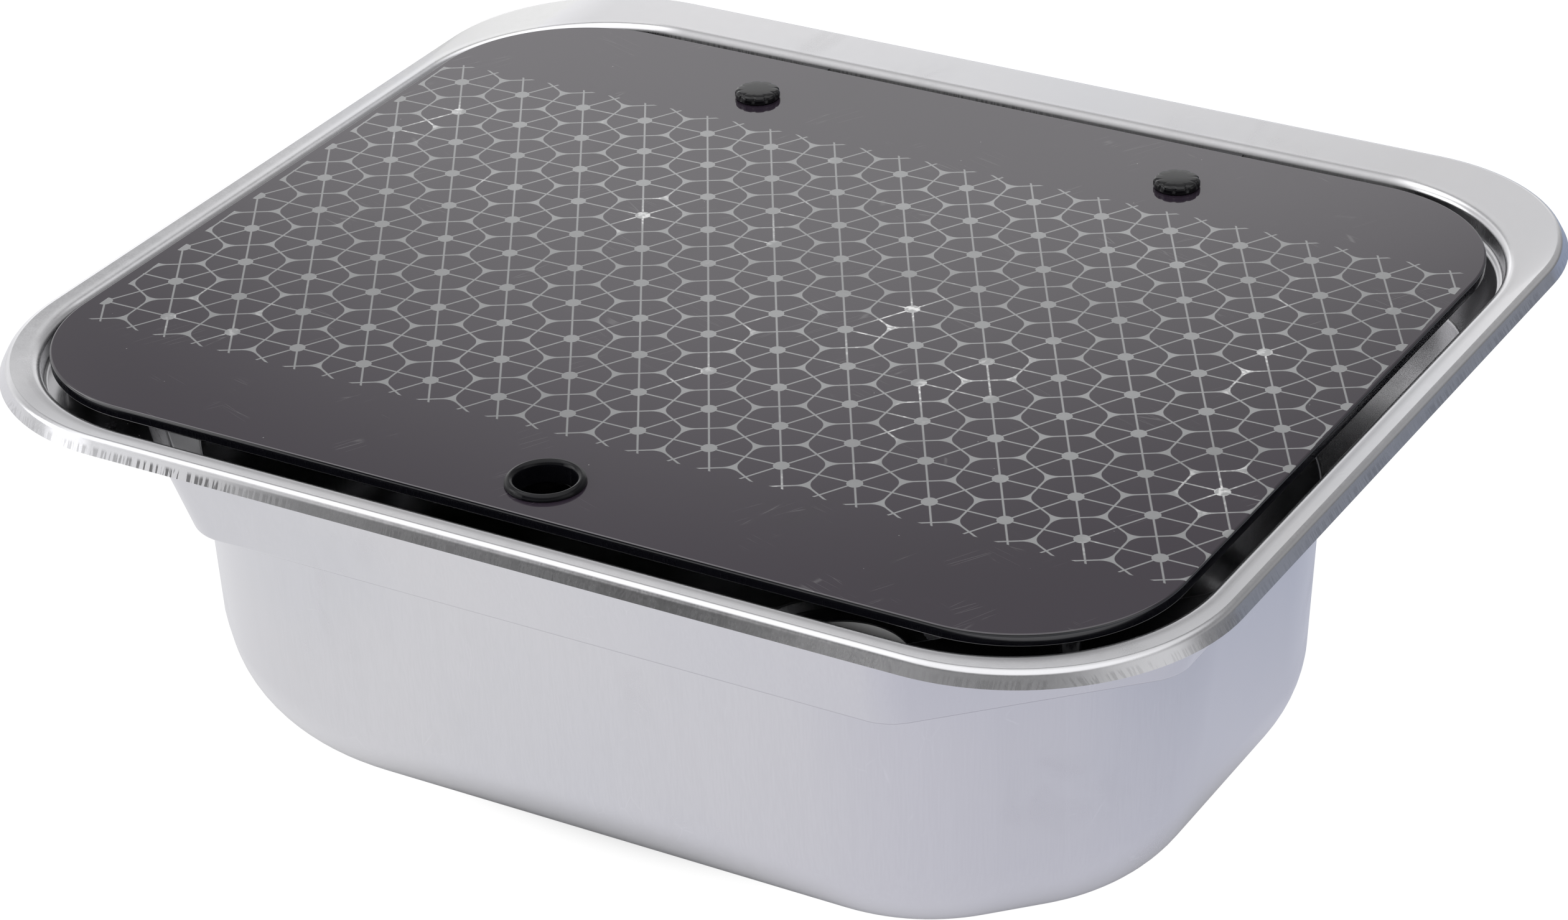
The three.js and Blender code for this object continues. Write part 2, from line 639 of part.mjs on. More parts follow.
const earInner = KNUCKLE_WIDTH / 2 + BRACKET_SIDE_GAP;
const earOuter = earInner + BRACKET_SHEET;
const footTop = footUnder + BRACKET_SHEET;
const webTop = pinZ - WEB_DROP;
const earFoot = pinZ - BRACKET_EAR_DROP;

// Pressed bracket: a foot on the shelf, a web that narrows upwards and two ears that carry the pin
function makeBracket(x) {
  const webFront = webBack - BRACKET_SHEET;
  const footPlan = plan(
    x - BRACKET_FOOT_LENGTH / 2, x + BRACKET_FOOT_LENGTH / 2, footFront, webBack, Array(4).fill(quarter(1.5)),
  );
  const foot = new THREE.ExtrudeGeometry(shapeOf(footPlan), { depth: BRACKET_SHEET, bevelEnabled: false });
  foot.translate(0, 0, footUnder);
  const half = BRACKET_FOOT_LENGTH / 2 - 1.5;
  const web = polygon([
    [-half, footUnder], [half, footUnder], [half, footTop + 2], [earOuter, earFoot],
    [earOuter, webTop], [-earOuter, webTop], [-earOuter, earFoot], [-half, footTop + 2],
  ]);
  const ear = new THREE.Shape();
  ear.moveTo(webFront, earFoot);
  ear.lineTo(webBack + 1, earFoot);
  ear.absarc(pinY, pinZ, BRACKET_EAR_RADIUS, -EIGHTH, Math.PI, false);
  ear.lineTo(webFront, webTop);
  const earMiddle = (earInner + earOuter) / 2;
  let bracket = toSolid(foot).add(toSolid(facingSlab(web, BRACKET_SHEET, x, webFront)));
  for (const side of [-1, 1]) {
    bracket = bracket.add(toSolid(crossSlab(ear, BRACKET_SHEET, x + side * earMiddle)));
  }
  bracket = bracket.subtract(toSolid(acrossCylinder(x, PIN_RADIUS + PIN_CLEARANCE, 2 * earOuter + 2)));
  for (const end of [-1, 1]) {
    const hole = uprightCylinder(
      x + (end * RIVET_SPACING) / 2, rivetY, RIVET_RADIUS + HOLE_CLEARANCE, footUnder - 1, footTop + 1, 12,
    );
    bracket = bracket.subtract(toSolid(hole));
  }
  return toGeometry(bracket);
}

function makePin(x) {
  const half = earOuter + SEAT_GAP;
  const pin = new THREE.LatheGeometry([
    [0, -half - PIN_HEAD],
    [PIN_HEAD_RADIUS * 0.8, -half - PIN_HEAD],
    [PIN_HEAD_RADIUS, -half - PIN_HEAD * 0.5],
    [PIN_HEAD_RADIUS, -half],
    [PIN_RADIUS, -half],
    [PIN_RADIUS, half],
    [PIN_HEAD_RADIUS * 0.85, half],
    [PIN_HEAD_RADIUS * 0.85, half + PIN_HEAD * 0.5],
    [PIN_HEAD_RADIUS * 0.6, half + PIN_HEAD],
    [0, half + PIN_HEAD],
  ].map(([r, z]) => new THREE.Vector2(r, z)), ROUND_STEPS);
  pin.rotateZ(-QUARTER);
  pin.translate(x, pinY, pinZ);
  return pin;
}

// Blind rivet through the bracket's foot and the shelf
function makeRivet(x) {
  const seat = footTop + SEAT_GAP;
  const tail = shelfTop - SHEET - SEAT_GAP;
  return turned(x, rivetY, [
    [0, tail - RIVET_TAIL],
    [RIVET_HEAD_RADIUS * 0.6, tail - RIVET_TAIL],
    [RIVET_HEAD_RADIUS * 0.8, tail - RIVET_TAIL * 0.5],
    [RIVET_HEAD_RADIUS * 0.8, tail],
    [RIVET_RADIUS, tail],
    [RIVET_RADIUS, seat],
    [RIVET_HEAD_RADIUS, seat],
    [RIVET_HEAD_RADIUS * 0.75, seat + RIVET_HEAD * 0.8],
    [0, seat + RIVET_HEAD],
  ], 12);
}

function makeHinge(name, side) {
  const x = (side * HINGE_SPACING) / 2;
  const bore = SCREW_RADIUS + HOLE_CLEARANCE;
  addPart(`hinge_cap_${name}`, makeCap(x), 'cap');
  addPart(`hinge_screw_${name}`, makeScrew(x), 'hardware');
  addPart(`hinge_bush_${name}`, ringOf(x, bore, bushRadius, lidUnder, lidTop), 'nylon');
  addPart(`hinge_pad_${name}`, ringOf(x, bore, PAD_RADIUS, padTop - PAD_THICKNESS, padTop), 'rubber');
  addPart(`hinge_arm_${name}`, makeArm(x), 'hardware');
  addPart(`hinge_nut_${name}`, makeNut(x), 'hardware');
  addPart(`hinge_bracket_${name}`, makeBracket(x), 'hardware');
  addPart(`hinge_pin_${name}`, makePin(x), 'hardware');
  rivetPlaces([side]).forEach((place, i) => {
    addPart(`bracket_rivet_${name}_${i + 1}`, makeRivet(place), 'hardware');
  });
}

// Rubber buffer under a front corner of the glass, landing on the ledge
function makeBumper(name, side) {
  const centre = cutDistance(lidPlan, side) - BUMPER_INSET;
  const sideways = (lidPlan.right + lidPlan.front) * Math.SQRT1_2; // the lid is longer than wide
  const [x, y] = [centre + sideways, sideways - centre].map((reach) => reach * Math.SQRT1_2);
  const low = ledgeTop + SEAT_GAP;
  const high = lidUnder - SEAT_GAP;
  const bumper = turned(side * x, y, [
    [0, low],
    [BUMPER_FOOT_RADIUS - 1, low],
    [BUMPER_FOOT_RADIUS, low + 1],
    [BUMPER_TOP_RADIUS - 1, high - 1.5],
    [BUMPER_TOP_RADIUS, high - 1.5],
    [BUMPER_TOP_RADIUS, high],
    [0, high],
  ]);
  addPart(`lid_bumper_${name}`, bumper, 'rubber');
}

makeSink();
makeSeal();
makeLid();
makeGrommet();
for (const [name, side] of [['left', -1], ['right', 1]]) {
  makeHinge(name, side);
  makeBumper(name, side);
}

export default sink;
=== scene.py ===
"""Looks of a drop-in caravan sink with a hinged glass lid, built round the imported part."""

import logging
import math
from dataclasses import dataclass, field, replace
from enum import Enum
from functools import reduce
from typing import Sequence

import bmesh
import bpy
from mathutils import Matrix, Vector


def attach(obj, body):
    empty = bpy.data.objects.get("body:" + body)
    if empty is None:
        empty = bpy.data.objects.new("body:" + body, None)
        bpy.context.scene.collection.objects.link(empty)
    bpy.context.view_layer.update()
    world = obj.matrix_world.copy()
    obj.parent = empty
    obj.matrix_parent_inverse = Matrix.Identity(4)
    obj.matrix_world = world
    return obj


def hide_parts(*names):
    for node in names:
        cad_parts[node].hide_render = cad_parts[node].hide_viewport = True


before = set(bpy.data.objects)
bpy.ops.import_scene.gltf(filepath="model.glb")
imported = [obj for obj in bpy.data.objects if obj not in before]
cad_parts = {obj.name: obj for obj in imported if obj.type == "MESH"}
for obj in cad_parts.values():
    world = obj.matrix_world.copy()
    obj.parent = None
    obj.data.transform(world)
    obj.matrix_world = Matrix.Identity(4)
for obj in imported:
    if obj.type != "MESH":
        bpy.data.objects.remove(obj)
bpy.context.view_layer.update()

LOG = logging.getLogger("sink")
MM = 0.001
LEVEL = math.pi / 2
Socket = bpy.types.NodeSocket
Ring = list[Vector]
Sockets = dict[str, Socket]
Pair = tuple[float, float]
Triple = tuple[float, float, float]
Colour = tuple[float, float, float, float]
Band = tuple[float, ...]
Bands = tuple[Band, Band]


class Body(Enum):
    """Moving bodies of the part."""

    SINK = "sink"
    LID = "lid"


class Slot(Enum):
    """Material slots of the record."""

    SHEET = "stainless_sheet"
    GLASS = "black_glass"
    RUBBER = "black_rubber"
    CAP = "black_cap"


# ---------------------------------------------------------------- node graphs


class Graph:
    """Short calls that add linked nodes to one node tree."""

    def __init__(self, tree: bpy.types.NodeTree) -> None:
        """Keeps the tree.

        Args:
            tree: Node tree of a material, a world or a group.
        """
        self.tree = tree

    def wire(self, node: bpy.types.Node, inputs: dict) -> None:
        """Links sockets to a node's inputs, or writes constants on them.

        Args:
            node: The node.
            inputs: Sockets or constants by input name or number.
        """
        for name, value in inputs.items():
            if isinstance(value, bpy.types.NodeSocket):
                self.tree.links.new(value, node.inputs[name])
            else:
                node.inputs[name].default_value = value

    def node(self, kind: str, inputs: dict | None = None, **settings: object) -> bpy.types.Node:
        """Adds a node.

        Args:
            kind: Blender's node type.
            inputs: Sockets or constants by input name or number.
            settings: Attributes of the node.

        Returns:
            The new node.
        """
        made = self.tree.nodes.new(kind)
        for name, value in settings.items():
            setattr(made, name, value)
        self.wire(made, inputs or {})
        return made

    def math(self, operation: str, *values: object) -> Socket:
        """Result of a Math node on up to three values."""
        return self.node("ShaderNodeMath", dict(enumerate(values)), operation=operation).outputs[0]

    def product(self, *values: object) -> Socket:
        """Product of two or more values."""
        return reduce(lambda a, b: self.math("MULTIPLY", a, b), values)

    def total(self, *values: object) -> Socket:
        """Sum of two or more values."""
        return reduce(lambda a, b: self.math("ADD", a, b), values)

    def most(self, *values: object) -> Socket:
        """Largest of two or more values."""
        return reduce(lambda a, b: self.math("MAXIMUM", a, b), values)

    def line(self, value: object, slope: object, start: object) -> Socket:
        """A value times a slope, added to a start."""
        return self.math("MULTIPLY_ADD", value, slope, start)

    def vector(self, operation: str, *vectors: object) -> Socket:
        """Result of a Vector Math node on one or two vectors."""
        return self.node("ShaderNodeVectorMath", dict(enumerate(vectors)), operation=operation).outputs[0]

    def length(self, vector: Socket) -> Socket:
        """Length of a vector."""
        return self.node("ShaderNodeVectorMath", {0: vector}, operation="LENGTH").outputs["Value"]

    def scaled(self, vector: object, factor: object) -> Socket:
        """Vector or colour multiplied by one factor."""
        return self.node("ShaderNodeVectorMath", {0: vector, "Scale": factor}, operation="SCALE").outputs[0]

    def stretch(self, point: Socket, scale: object) -> Socket:
        """Point multiplied axis by axis."""
        return self.vector("MULTIPLY", point, scale)

    def turned(self, point: Socket, angle: float) -> Socket:
        """Point turned about the upright axis."""
        return self.node("ShaderNodeVectorRotate", {"Vector": point, "Angle": angle}).outputs[0]

    def parts(self, point: Socket) -> tuple[Socket, ...]:
        """The x, y and z of a point."""
        return tuple(self.node("ShaderNodeSeparateXYZ", {0: point}).outputs)

    def colour(self, red: object, green: object, blue: object) -> Socket:
        """Colour of three parts."""
        return self.node("ShaderNodeCombineColor", {0: red, 1: green, 2: blue}).outputs[0]

    def noise(self, point: Socket, scale: float, detail: float = 2.0, distortion: float = 0.0) -> Socket:
        """Noise value at a point, about 0.5 on average."""
        inputs = {"Vector": point, "Scale": scale, "Detail": detail, "Distortion": distortion}
        return self.node("ShaderNodeTexNoise", inputs).outputs[0]

    def cells(self, point: Socket, scale: object) -> Sockets:
        """Random cells: distance from the cell's middle and a random colour, by name."""
        made = self.node("ShaderNodeTexVoronoi", {"Vector": point, "Scale": scale})
        return {name: made.outputs[name] for name in ("Distance", "Color")}

    def chance(self, cells: Sockets) -> Socket:
        """A random value for each cell, from 0 to 1."""
        return self.node("ShaderNodeSeparateColor", {0: cells["Color"]}).outputs[0]

    def band(self, value: object, low: float, high: float, start: float = 0.0, end: float = 1.0) -> Socket:
        """Smooth step of a value from low to high, put out from start to end."""
        inputs = {0: value, 1: low, 2: high, 3: start, 4: end}
        return self.node("ShaderNodeMapRange", inputs, interpolation_type="SMOOTHSTEP").outputs[0]

    def window(self, *limits: tuple) -> Socket:
        """Product of bands, for each value one or more: two limits, and the results at them if not 0 and 1."""
        return self.product(*(self.band(value, *band) for value, *bands in limits for band in bands))

    def cloud(self, point: Socket, scale: float, detail: float, start: float = 0.0, end: float = 1.0) -> Socket:
        """Soft patches that run from start to end."""
        return self.band(self.noise(point, scale, detail), 0.3, 0.7, start, end)

    def blend(self, factor: object, a: object, b: object, mode: str = "MIX") -> Socket:
        """Colour mixed from a to b by a factor."""
        inputs = {0: factor, 6: a, 7: b}
        return self.node("ShaderNodeMix", inputs, data_type="RGBA", blend_type=mode).outputs[2]

    def tinted(self, colour: Socket, tint: object) -> Socket:
        """Colour multiplied by a tint."""
        return self.blend(1.0, colour, tint, "MULTIPLY")

    def bump(self, height: Socket, strength: float, distance: float) -> Socket:
        """Normal bent by a height."""
        inputs = {"Strength": strength, "Distance": distance, "Height": height}
        return self.node("ShaderNodeBump", inputs).outputs[0]

    def here(self) -> Socket:
        """Place on the piece, in metres."""
        return self.node("ShaderNodeTexCoord").outputs["Object"]


class Group:
    """A shared surface effect at a point: a shader node group that is built once."""

    name = ""
    takes: dict[str, float] = {}
    gives: tuple[str, ...] = ()

    def draw(self, graph: Graph, inputs: Sockets) -> Sockets:
        """Adds the effect's nodes.

        Args:
            graph: Graph of the group's tree.
            inputs: The group's inputs, by name.

        Returns:
            The sockets that feed the group's outputs, by name.
        """
        raise NotImplementedError

    def tree(self) -> bpy.types.NodeTree:
        """The group's tree, built at the first call."""
        found = bpy.data.node_groups.get(self.name)
        if found:
            return found
        tree = bpy.data.node_groups.new(self.name, "ShaderNodeTree")
        tree.interface.new_socket("Point", in_out="INPUT", socket_type="NodeSocketVector")
        for name, value in self.takes.items():
            tree.interface.new_socket(name, in_out="INPUT", socket_type="NodeSocketFloat").default_value = value
        for name in self.gives:
            tree.interface.new_socket(name, in_out="OUTPUT", socket_type="NodeSocketFloat")
        graph = Graph(tree)
        entry = graph.node("NodeGroupInput")
        leave = graph.node("NodeGroupOutput")
        graph.wire(leave, self.draw(graph, {name: entry.outputs[name] for name in ("Point", *self.takes)}))
        return tree

    def place(self, graph: Graph, point: Socket, **values: float) -> Sockets:
        """Places the group in a material.

        Args:
            graph: Graph of the material.
            point: Place on the piece.
            values: The other inputs, by name in lower case.

        Returns:
            The group's outputs, by name.
        """
        inputs = {"Point": point, **{name.capitalize(): value for name, value in values.items()}}
        made = graph.node("ShaderNodeGroup", inputs, node_tree=self.tree(), label=self.name)
        return {name: made.outputs[name] for name in self.gives}


class FineGrain(Group):
    """Fine lines of rolled and drawn metal that run down the walls, and an even grain on the flats."""

    name = "fine grain"
    takes = {"Fineness": 900.0, "Run": 0.03}
    gives = ("Height", "Tone")
    coarser = (0.13, 0.13, 0.35)
    thin_share = 0.65
    tones: Band = (0.3, 0.7, -1.0, 1.0)

    def draw(self, graph: Graph, inputs: Sockets) -> Sockets:
        """Adds the grain's nodes. See Group.draw."""
        fine = inputs["Fineness"]
        down = graph.product(fine, inputs["Run"])
        scale = graph.node("ShaderNodeCombineXYZ", {0: fine, 1: fine, 2: down}).outputs[0]
        point = graph.stretch(inputs["Point"], scale)
        thin = graph.noise(point, 1.0, 3.0)
        broad = graph.noise(graph.stretch(point, self.coarser), 1.0, 2.0)
        height = graph.line(thin, self.thin_share, graph.product(broad, 1 - self.thin_share))
        return {"Height": height, "Tone": graph.band(height, *self.tones)}


class Handling(Group):
    """Smears of handling and hair-fine scratches."""

    name = "handling"
    takes = {"Smears": 1.0, "Scratches": 1.0}
    gives = ("Smear", "Scratch")
    smeared: Band = (0.5, 0.72)
    wipes = (60.0, 22.0, 40.0)
    wiped: Band = (0.42, 0.66)
    scratch_runs = ((0.5, 190.0), (1.9, 260.0))
    scratch_slope = (0.05, 0.3)
    hair: Band = (0.0, 0.018, 1.0, 0.0)
    scratched: Band = (0.62, 0.7)

    def draw(self, graph: Graph, inputs: Sockets) -> Sockets:
        """Adds the nodes of smears and scratches. See Group.draw."""
        point = inputs["Point"]
        cloud = graph.noise(point, 16.0, 5.0, 0.6)
        wipe = graph.noise(graph.stretch(point, self.wipes), 1.0, 3.0, 0.8)
        marks = []
        for angle, fineness in self.scratch_runs:
            turned = graph.turned(point, angle)
            bent = graph.stretch(turned, (fineness, *(fineness * share for share in self.scratch_slope)))
            line = graph.node("ShaderNodeTexVoronoi", {"Vector": bent, "Scale": 1.0}, feature="DISTANCE_TO_EDGE")
            patch = graph.noise(turned, 38.0, 2.0)
            marks.append(graph.window((line.outputs[0], self.hair), (patch, self.scratched)))
        return {
            "Smear": graph.product(graph.window((cloud, self.smeared), (wipe, self.wiped)), inputs["Smears"]),
            "Scratch": graph.product(graph.most(*marks), inputs["Scratches"]),
        }


class Specks(Group):
    """Sparse specks of dust."""

    name = "specks"
    takes = {"Spread": 120.0, "Amount": 0.2}
    gives = ("Mask",)
    dot: Band = (0.02, 0.05, 1.0, 0.0)

    def draw(self, graph: Graph, inputs: Sockets) -> Sockets:
        """Adds the specks' nodes. See Group.draw."""
        cells = graph.cells(inputs["Point"], inputs["Spread"])
        chosen = graph.math("LESS_THAN", graph.chance(cells), inputs["Amount"])
        return {"Mask": graph.product(graph.band(cells["Distance"], *self.dot), chosen)}


@dataclass(frozen=True)
class Honeycomb:
    """Printed pattern of the glass: dots on a triangular lattice, joined by thin lines, in rounded hexagons.

    Pitch and start are in metres, the turn in degrees, and all that follows in shares of the pitch.
    """

    pitch: float = 29.2 * MM
    start: Pair = (-5.1 * MM, -53.1 * MM)
    turn: float = 0.80
    dot: float = 0.098
    line: float = 0.0125
    stroke: float = 0.013
    corner: float = 0.23
    sides: Pair = (-7.52, 8.02)
    ends: Pair = (-3.10, 5.70)
    soft: float = 0.006

    def mask(self, graph: Graph, point: Socket) -> Socket:
        """Where the pattern is printed.

        Args:
            graph: Graph of the material.
            point: Place on the glass in metres.

        Returns:
            1 on the print, 0 beside it.
        """
        moved = graph.vector("SUBTRACT", point, (*self.start, 0.0))
        turned = graph.turned(moved, -math.radians(self.turn))
        cells = graph.stretch(turned, (1 / self.pitch, 1 / self.pitch, 0.0))
        near = self.nearest(graph, cells)
        x, y, _ = graph.parts(near)
        drawn = [graph.band(graph.length(near), self.dot, self.dot + self.soft, 1.0, 0.0)]
        for angle in (0, 60, 120):
            away = self.off_line(graph, x, y, math.radians(angle))
            drawn.append(graph.band(away, self.line - self.soft, self.line + self.soft, 1.0, 0.0))
        drawn.append(self.cell_edge(graph, x, y))
        return graph.product(graph.most(*drawn), self.inside(graph, cells))

    def nearest(self, graph: Graph, cells: Socket) -> Socket:
        """Finds the nearest dot of the lattice.

        Args:
            graph: Graph of the material.
            cells: Place on the glass in pitches.

        Returns:
            Vector from that dot.
        """
        step = (1.0, math.sqrt(3), 1.0)
        half = (0.5, math.sqrt(3) / 2, 0.0)
        found = []
        for shift in ((0.0, 0.0, 0.0), half):
            moved = graph.vector("ADD", graph.vector("SUBTRACT", cells, shift), half)
            share = graph.vector("FRACTION", graph.vector("DIVIDE", moved, step))
            found.append(graph.vector("SUBTRACT", graph.stretch(share, step), half))
        first, second = (graph.length(vector) for vector in found)
        return graph.blend(graph.math("LESS_THAN", second, first), *found)

    def off_line(self, graph: Graph, x: Socket, y: Socket, angle: float) -> Socket:
        """Distance from the line through the dot at an angle."""
        return graph.math("ABSOLUTE", graph.line(x, math.sin(angle), graph.product(y, -math.cos(angle))))

    def cell_edge(self, graph: Graph, x: Socket, y: Socket) -> Socket:
        """Stroke between the cells: what lies outside a hexagon with rounded corners.

        Args:
            graph: Graph of the material.
            x: Distance from the nearest dot to the right, in pitches.
            y: Distance from it to the back.

        Returns:
            1 on the stroke.
        """
        flat = 0.5 - self.stroke - self.corner
        across, along = math.cos(math.radians(120)), math.sin(math.radians(120))
        x, y = graph.math("ABSOLUTE", x), graph.math("ABSOLUTE", y)
        over = graph.most(graph.line(x, across, graph.product(y, along)), 0.0)
        x = graph.line(over, -2 * across, x)
        y = graph.math("ABSOLUTE", graph.line(over, -2 * along, y))
        beyond = graph.most(graph.math("SUBTRACT", y, flat / math.sqrt(3)), 0.0)
        out = graph.math("SUBTRACT", x, flat)
        far = graph.math("SQRT", graph.line(out, out, graph.product(beyond, beyond)))
        return graph.band(far, self.corner - self.soft, self.corner + self.soft)

    def inside(self, graph: Graph, cells: Socket) -> Socket:
        """Cuts the print to a rectangle.

        Args:
            graph: Graph of the material.
            cells: Place on the glass in pitches.

        Returns:
            1 inside.
        """
        tests = []
        for part, (low, high) in zip(graph.parts(cells), (self.sides, self.ends)):
            tests += [graph.math("GREATER_THAN", part, low), graph.math("LESS_THAN", part, high)]
        return graph.product(*tests)


# ------------------------------------------------------------------- finishes


@dataclass(frozen=True)
class Finish:
    """A material of the part.

    Attributes:
        name: Name of the material.
        colour: Base colour, linear.
        roughness: Mean roughness.
    """

    name: str
    colour: Triple
    roughness: float

    def material(self) -> bpy.types.Material:
        """The material, built at the first call."""
        found = bpy.data.materials.get(self.name)
        if found:
            return found
        made = bpy.data.materials.new(self.name)
        made.use_nodes = True
        graph = Graph(made.node_tree)
        shader = made.node_tree.nodes["Principled BSDF"]
        graph.wire(shader, {"Base Color": self.shade(1.0), "Roughness": self.roughness})
        self.dress(graph, shader)
        return made

    def dress(self, graph: Graph, shader: bpy.types.Node) -> None:
        """Adds what varies over the surface.

        Args:
            graph: Graph of the material.
            shader: Its Principled BSDF.
        """
        raise NotImplementedError

    def shade(self, amount: float) -> Colour:
        """The base colour made lighter or darker by a factor."""
        return (*(c * amount for c in self.colour), 1.0)

    def shades(self, amounts: Pair) -> list[Colour]:
        """The base colour at two factors."""
        return [self.shade(amount) for amount in amounts]


@dataclass(frozen=True)
class Pressed(Finish):
    """Satin stainless sheet with drawn grain, wiped smears, scratches and a sheared lower edge, and painted light and
    shade on its rim.

    Shades and painted-light gains are factors on the base colour. Places, levels and heights are in metres.
    """

    tones: Pair = (0.985, 1.012)
    film: Colour = (0.96, 0.97, 0.985, 1.0)
    smear_shade: float = 0.9
    scratch_shade: float = 1.12
    roll_painted_shade: float = 0.72
    # Painted shade on the opening's rolled back edge.
    shear_shade: float = 0.28
    bump: Pair = (0.012, 0.12 * MM)
    shear_depth: float = 1.5
    top: Band = (4.2 * MM, 4.9 * MM)
    # Painted highlight: the rim lighter towards the back and the left.
    back_painted_highlight: Band = (-0.2, 0.19, 0.9, 1.24)
    left_painted_highlight: Band = (-0.225, -0.2, 0.28, 0.0)
    # Painted shade: the front hem darker in its middle.
    painted_hem_shade: float = 0.58
    painted_hem_shade_x: Bands = ((-0.13, -0.07), (0.08, 0.16, 1.0, 0.0))
    painted_hem_shade_level: Band = (3.2 * MM, 4.0 * MM, 1.0, 0.0)
    painted_hem_shade_y: Band = (-0.212, -0.208, 1.0, 0.0)
    # Where the painted shade on the opening's rolled back edge lies.
    rolled_y: Bands = ((0.1855, 0.187), (0.1905, 0.1925, 1.0, 0.0))
    rolled_x: Band = (0.16, 0.178, 1.0, 0.0)
    rolled_level: Band = (-5 * MM, -4 * MM)
    hem: Bands = ((1.92 * MM, 3.36 * MM, 1.0, 0.0), (-0.9 * MM, -0.4 * MM))
    marks: Triple = (800.0, 90.0, 60.0)
    marked: Band = (0.47, 0.55)
    aside: Band = (0.2, 0.225)
    patches: Band = (0.35, 0.6, 0.3, 1.0)
    worn_x: Bands = ((-0.03, 0.08, 1.0, 0.3), (-0.23, -0.18))

    def dress(self, graph: Graph, shader: bpy.types.Node) -> None:
        """Adds grain, handling, painted highlight and painted shade on the rim and hem, painted shade on the opening's
        back edge and the hem's shear marks. See Finish.dress.
        """
        point = graph.here()
        grain = FineGrain().place(graph, point, fineness=1500.0, run=0.02)
        hands = Handling().place(graph, point, smears=1.0, scratches=0.7)
        colour = graph.blend(graph.band(grain["Tone"], -1.0, 1.0), *self.shades(self.tones))
        colour = graph.blend(graph.cloud(point, 7.0, 3.0), colour, graph.tinted(colour, self.film))
        colour = graph.blend(graph.product(hands["Smear"], 0.25), colour, self.shade(self.smear_shade))
        colour = graph.blend(graph.product(hands["Scratch"], 0.5), colour, self.shade(self.scratch_shade))
        # Painted highlight on the rim's back and left, painted shade on the front hem.
        colour = graph.scaled(colour, self.rim_painted_light(graph, point))
        rolled, shear = self.rolled(graph, point), self.shear(graph, point)
        # Painted shade on the opening's rolled back edge.
        colour = graph.blend(rolled, colour, self.shade(self.roll_painted_shade))
        colour = graph.blend(shear, colour, self.shade(self.shear_shade))
        rough = self.roughness
        for mask, added in ((grain["Tone"], 0.03), (hands["Smear"], 0.05), (shear, 0.15), (rolled, 0.3)):
            rough = graph.line(mask, added, rough)
        normal = graph.bump(graph.line(shear, -self.shear_depth, grain["Height"]), *self.bump)
        graph.wire(shader, {"Metallic": 1.0, "Base Color": colour, "Roughness": rough, "Normal": normal})

    def rim_painted_light(self, graph: Graph, point: Socket) -> Socket:
        """Paints highlight on the rim at the back and left, and paints shade on the hem in front.

        Args:
            graph: Graph of the material.
            point: Place on the sheet.

        Returns:
            Factor on the colour.
        """
        x, y, level = graph.parts(point)
        more = graph.total(graph.band(y, *self.back_painted_highlight), graph.band(x, *self.left_painted_highlight), -1.0)
        painted_highlight = graph.line(more, graph.band(level, *self.top), 1.0)
        painted_shade = graph.window((x, *self.painted_hem_shade_x), (level, self.painted_hem_shade_level), (y, self.painted_hem_shade_y))
        return graph.product(painted_highlight, graph.line(painted_shade, -self.painted_hem_shade, 1.0))

    def rolled(self, graph: Graph, point: Socket) -> Socket:
        """Strip on the opening's rolled back edge: painted shade that dims its highlight, with added roughness.

        Args:
            graph: Graph of the material.
            point: Place on the sheet.

        Returns:
            1 on the strip.
        """
        x, y, level = graph.parts(point)
        aside = graph.math("ABSOLUTE", x)
        return graph.window((y, *self.rolled_y), (aside, self.rolled_x), (level, self.rolled_level))

    def shear(self, graph: Graph, point: Socket) -> Socket:
        """Upright marks that the trimming tool leaves round the hem, in patches and fainter at the right.

        Args:
            graph: Graph of the material.
            point: Place on the sheet.

        Returns:
            1 on a deep mark.
        """
        x, _, level = graph.parts(point)
        fine, coarse, down = self.marks
        along_front = graph.noise(graph.stretch(point, (fine, coarse, down)), 1.0, 2.0)
        along_side = graph.noise(graph.stretch(point, (coarse, fine, down)), 1.0, 2.0)
        aside = graph.band(graph.math("ABSOLUTE", x), *self.aside)
        streak = graph.line(aside, graph.math("SUBTRACT", along_side, along_front), along_front)
        patch = graph.noise(point, 26.0, 1.0)
        return graph.window((streak, self.marked), (level, *self.hem), (patch, self.patches), (x, *self.worn_x))


@dataclass(frozen=True)
class Plated(Finish):
    """Steel under zinc or a black passivated layer, with a blurred spangle."""

    spangle: float = 420.0
    spangle_shades: Pair = (0.9, 1.05)
    smear_shade: float = 0.75
    bump: Pair = (0.2, 0.06 * MM)

    def dress(self, graph: Graph, shader: bpy.types.Node) -> None:
        """Adds the plating's spangle and handling marks. See Finish.dress."""
        point = graph.here()
        grain = FineGrain().place(graph, point, fineness=2400.0, run=0.4)
        hands = Handling().place(graph, point, smears=0.8, scratches=1.0)
        facet = graph.chance(graph.cells(point, self.spangle))
        colour = graph.blend(facet, *self.shades(self.spangle_shades))
        colour = graph.blend(hands["Smear"], colour, self.shade(self.smear_shade))
        rough = graph.line(hands["Scratch"], 0.2, graph.line(facet, 0.1, self.roughness))
        normal = graph.bump(grain["Height"], *self.bump)
        graph.wire(shader, {"Metallic": 1.0, "Base Color": colour, "Roughness": rough, "Normal": normal})


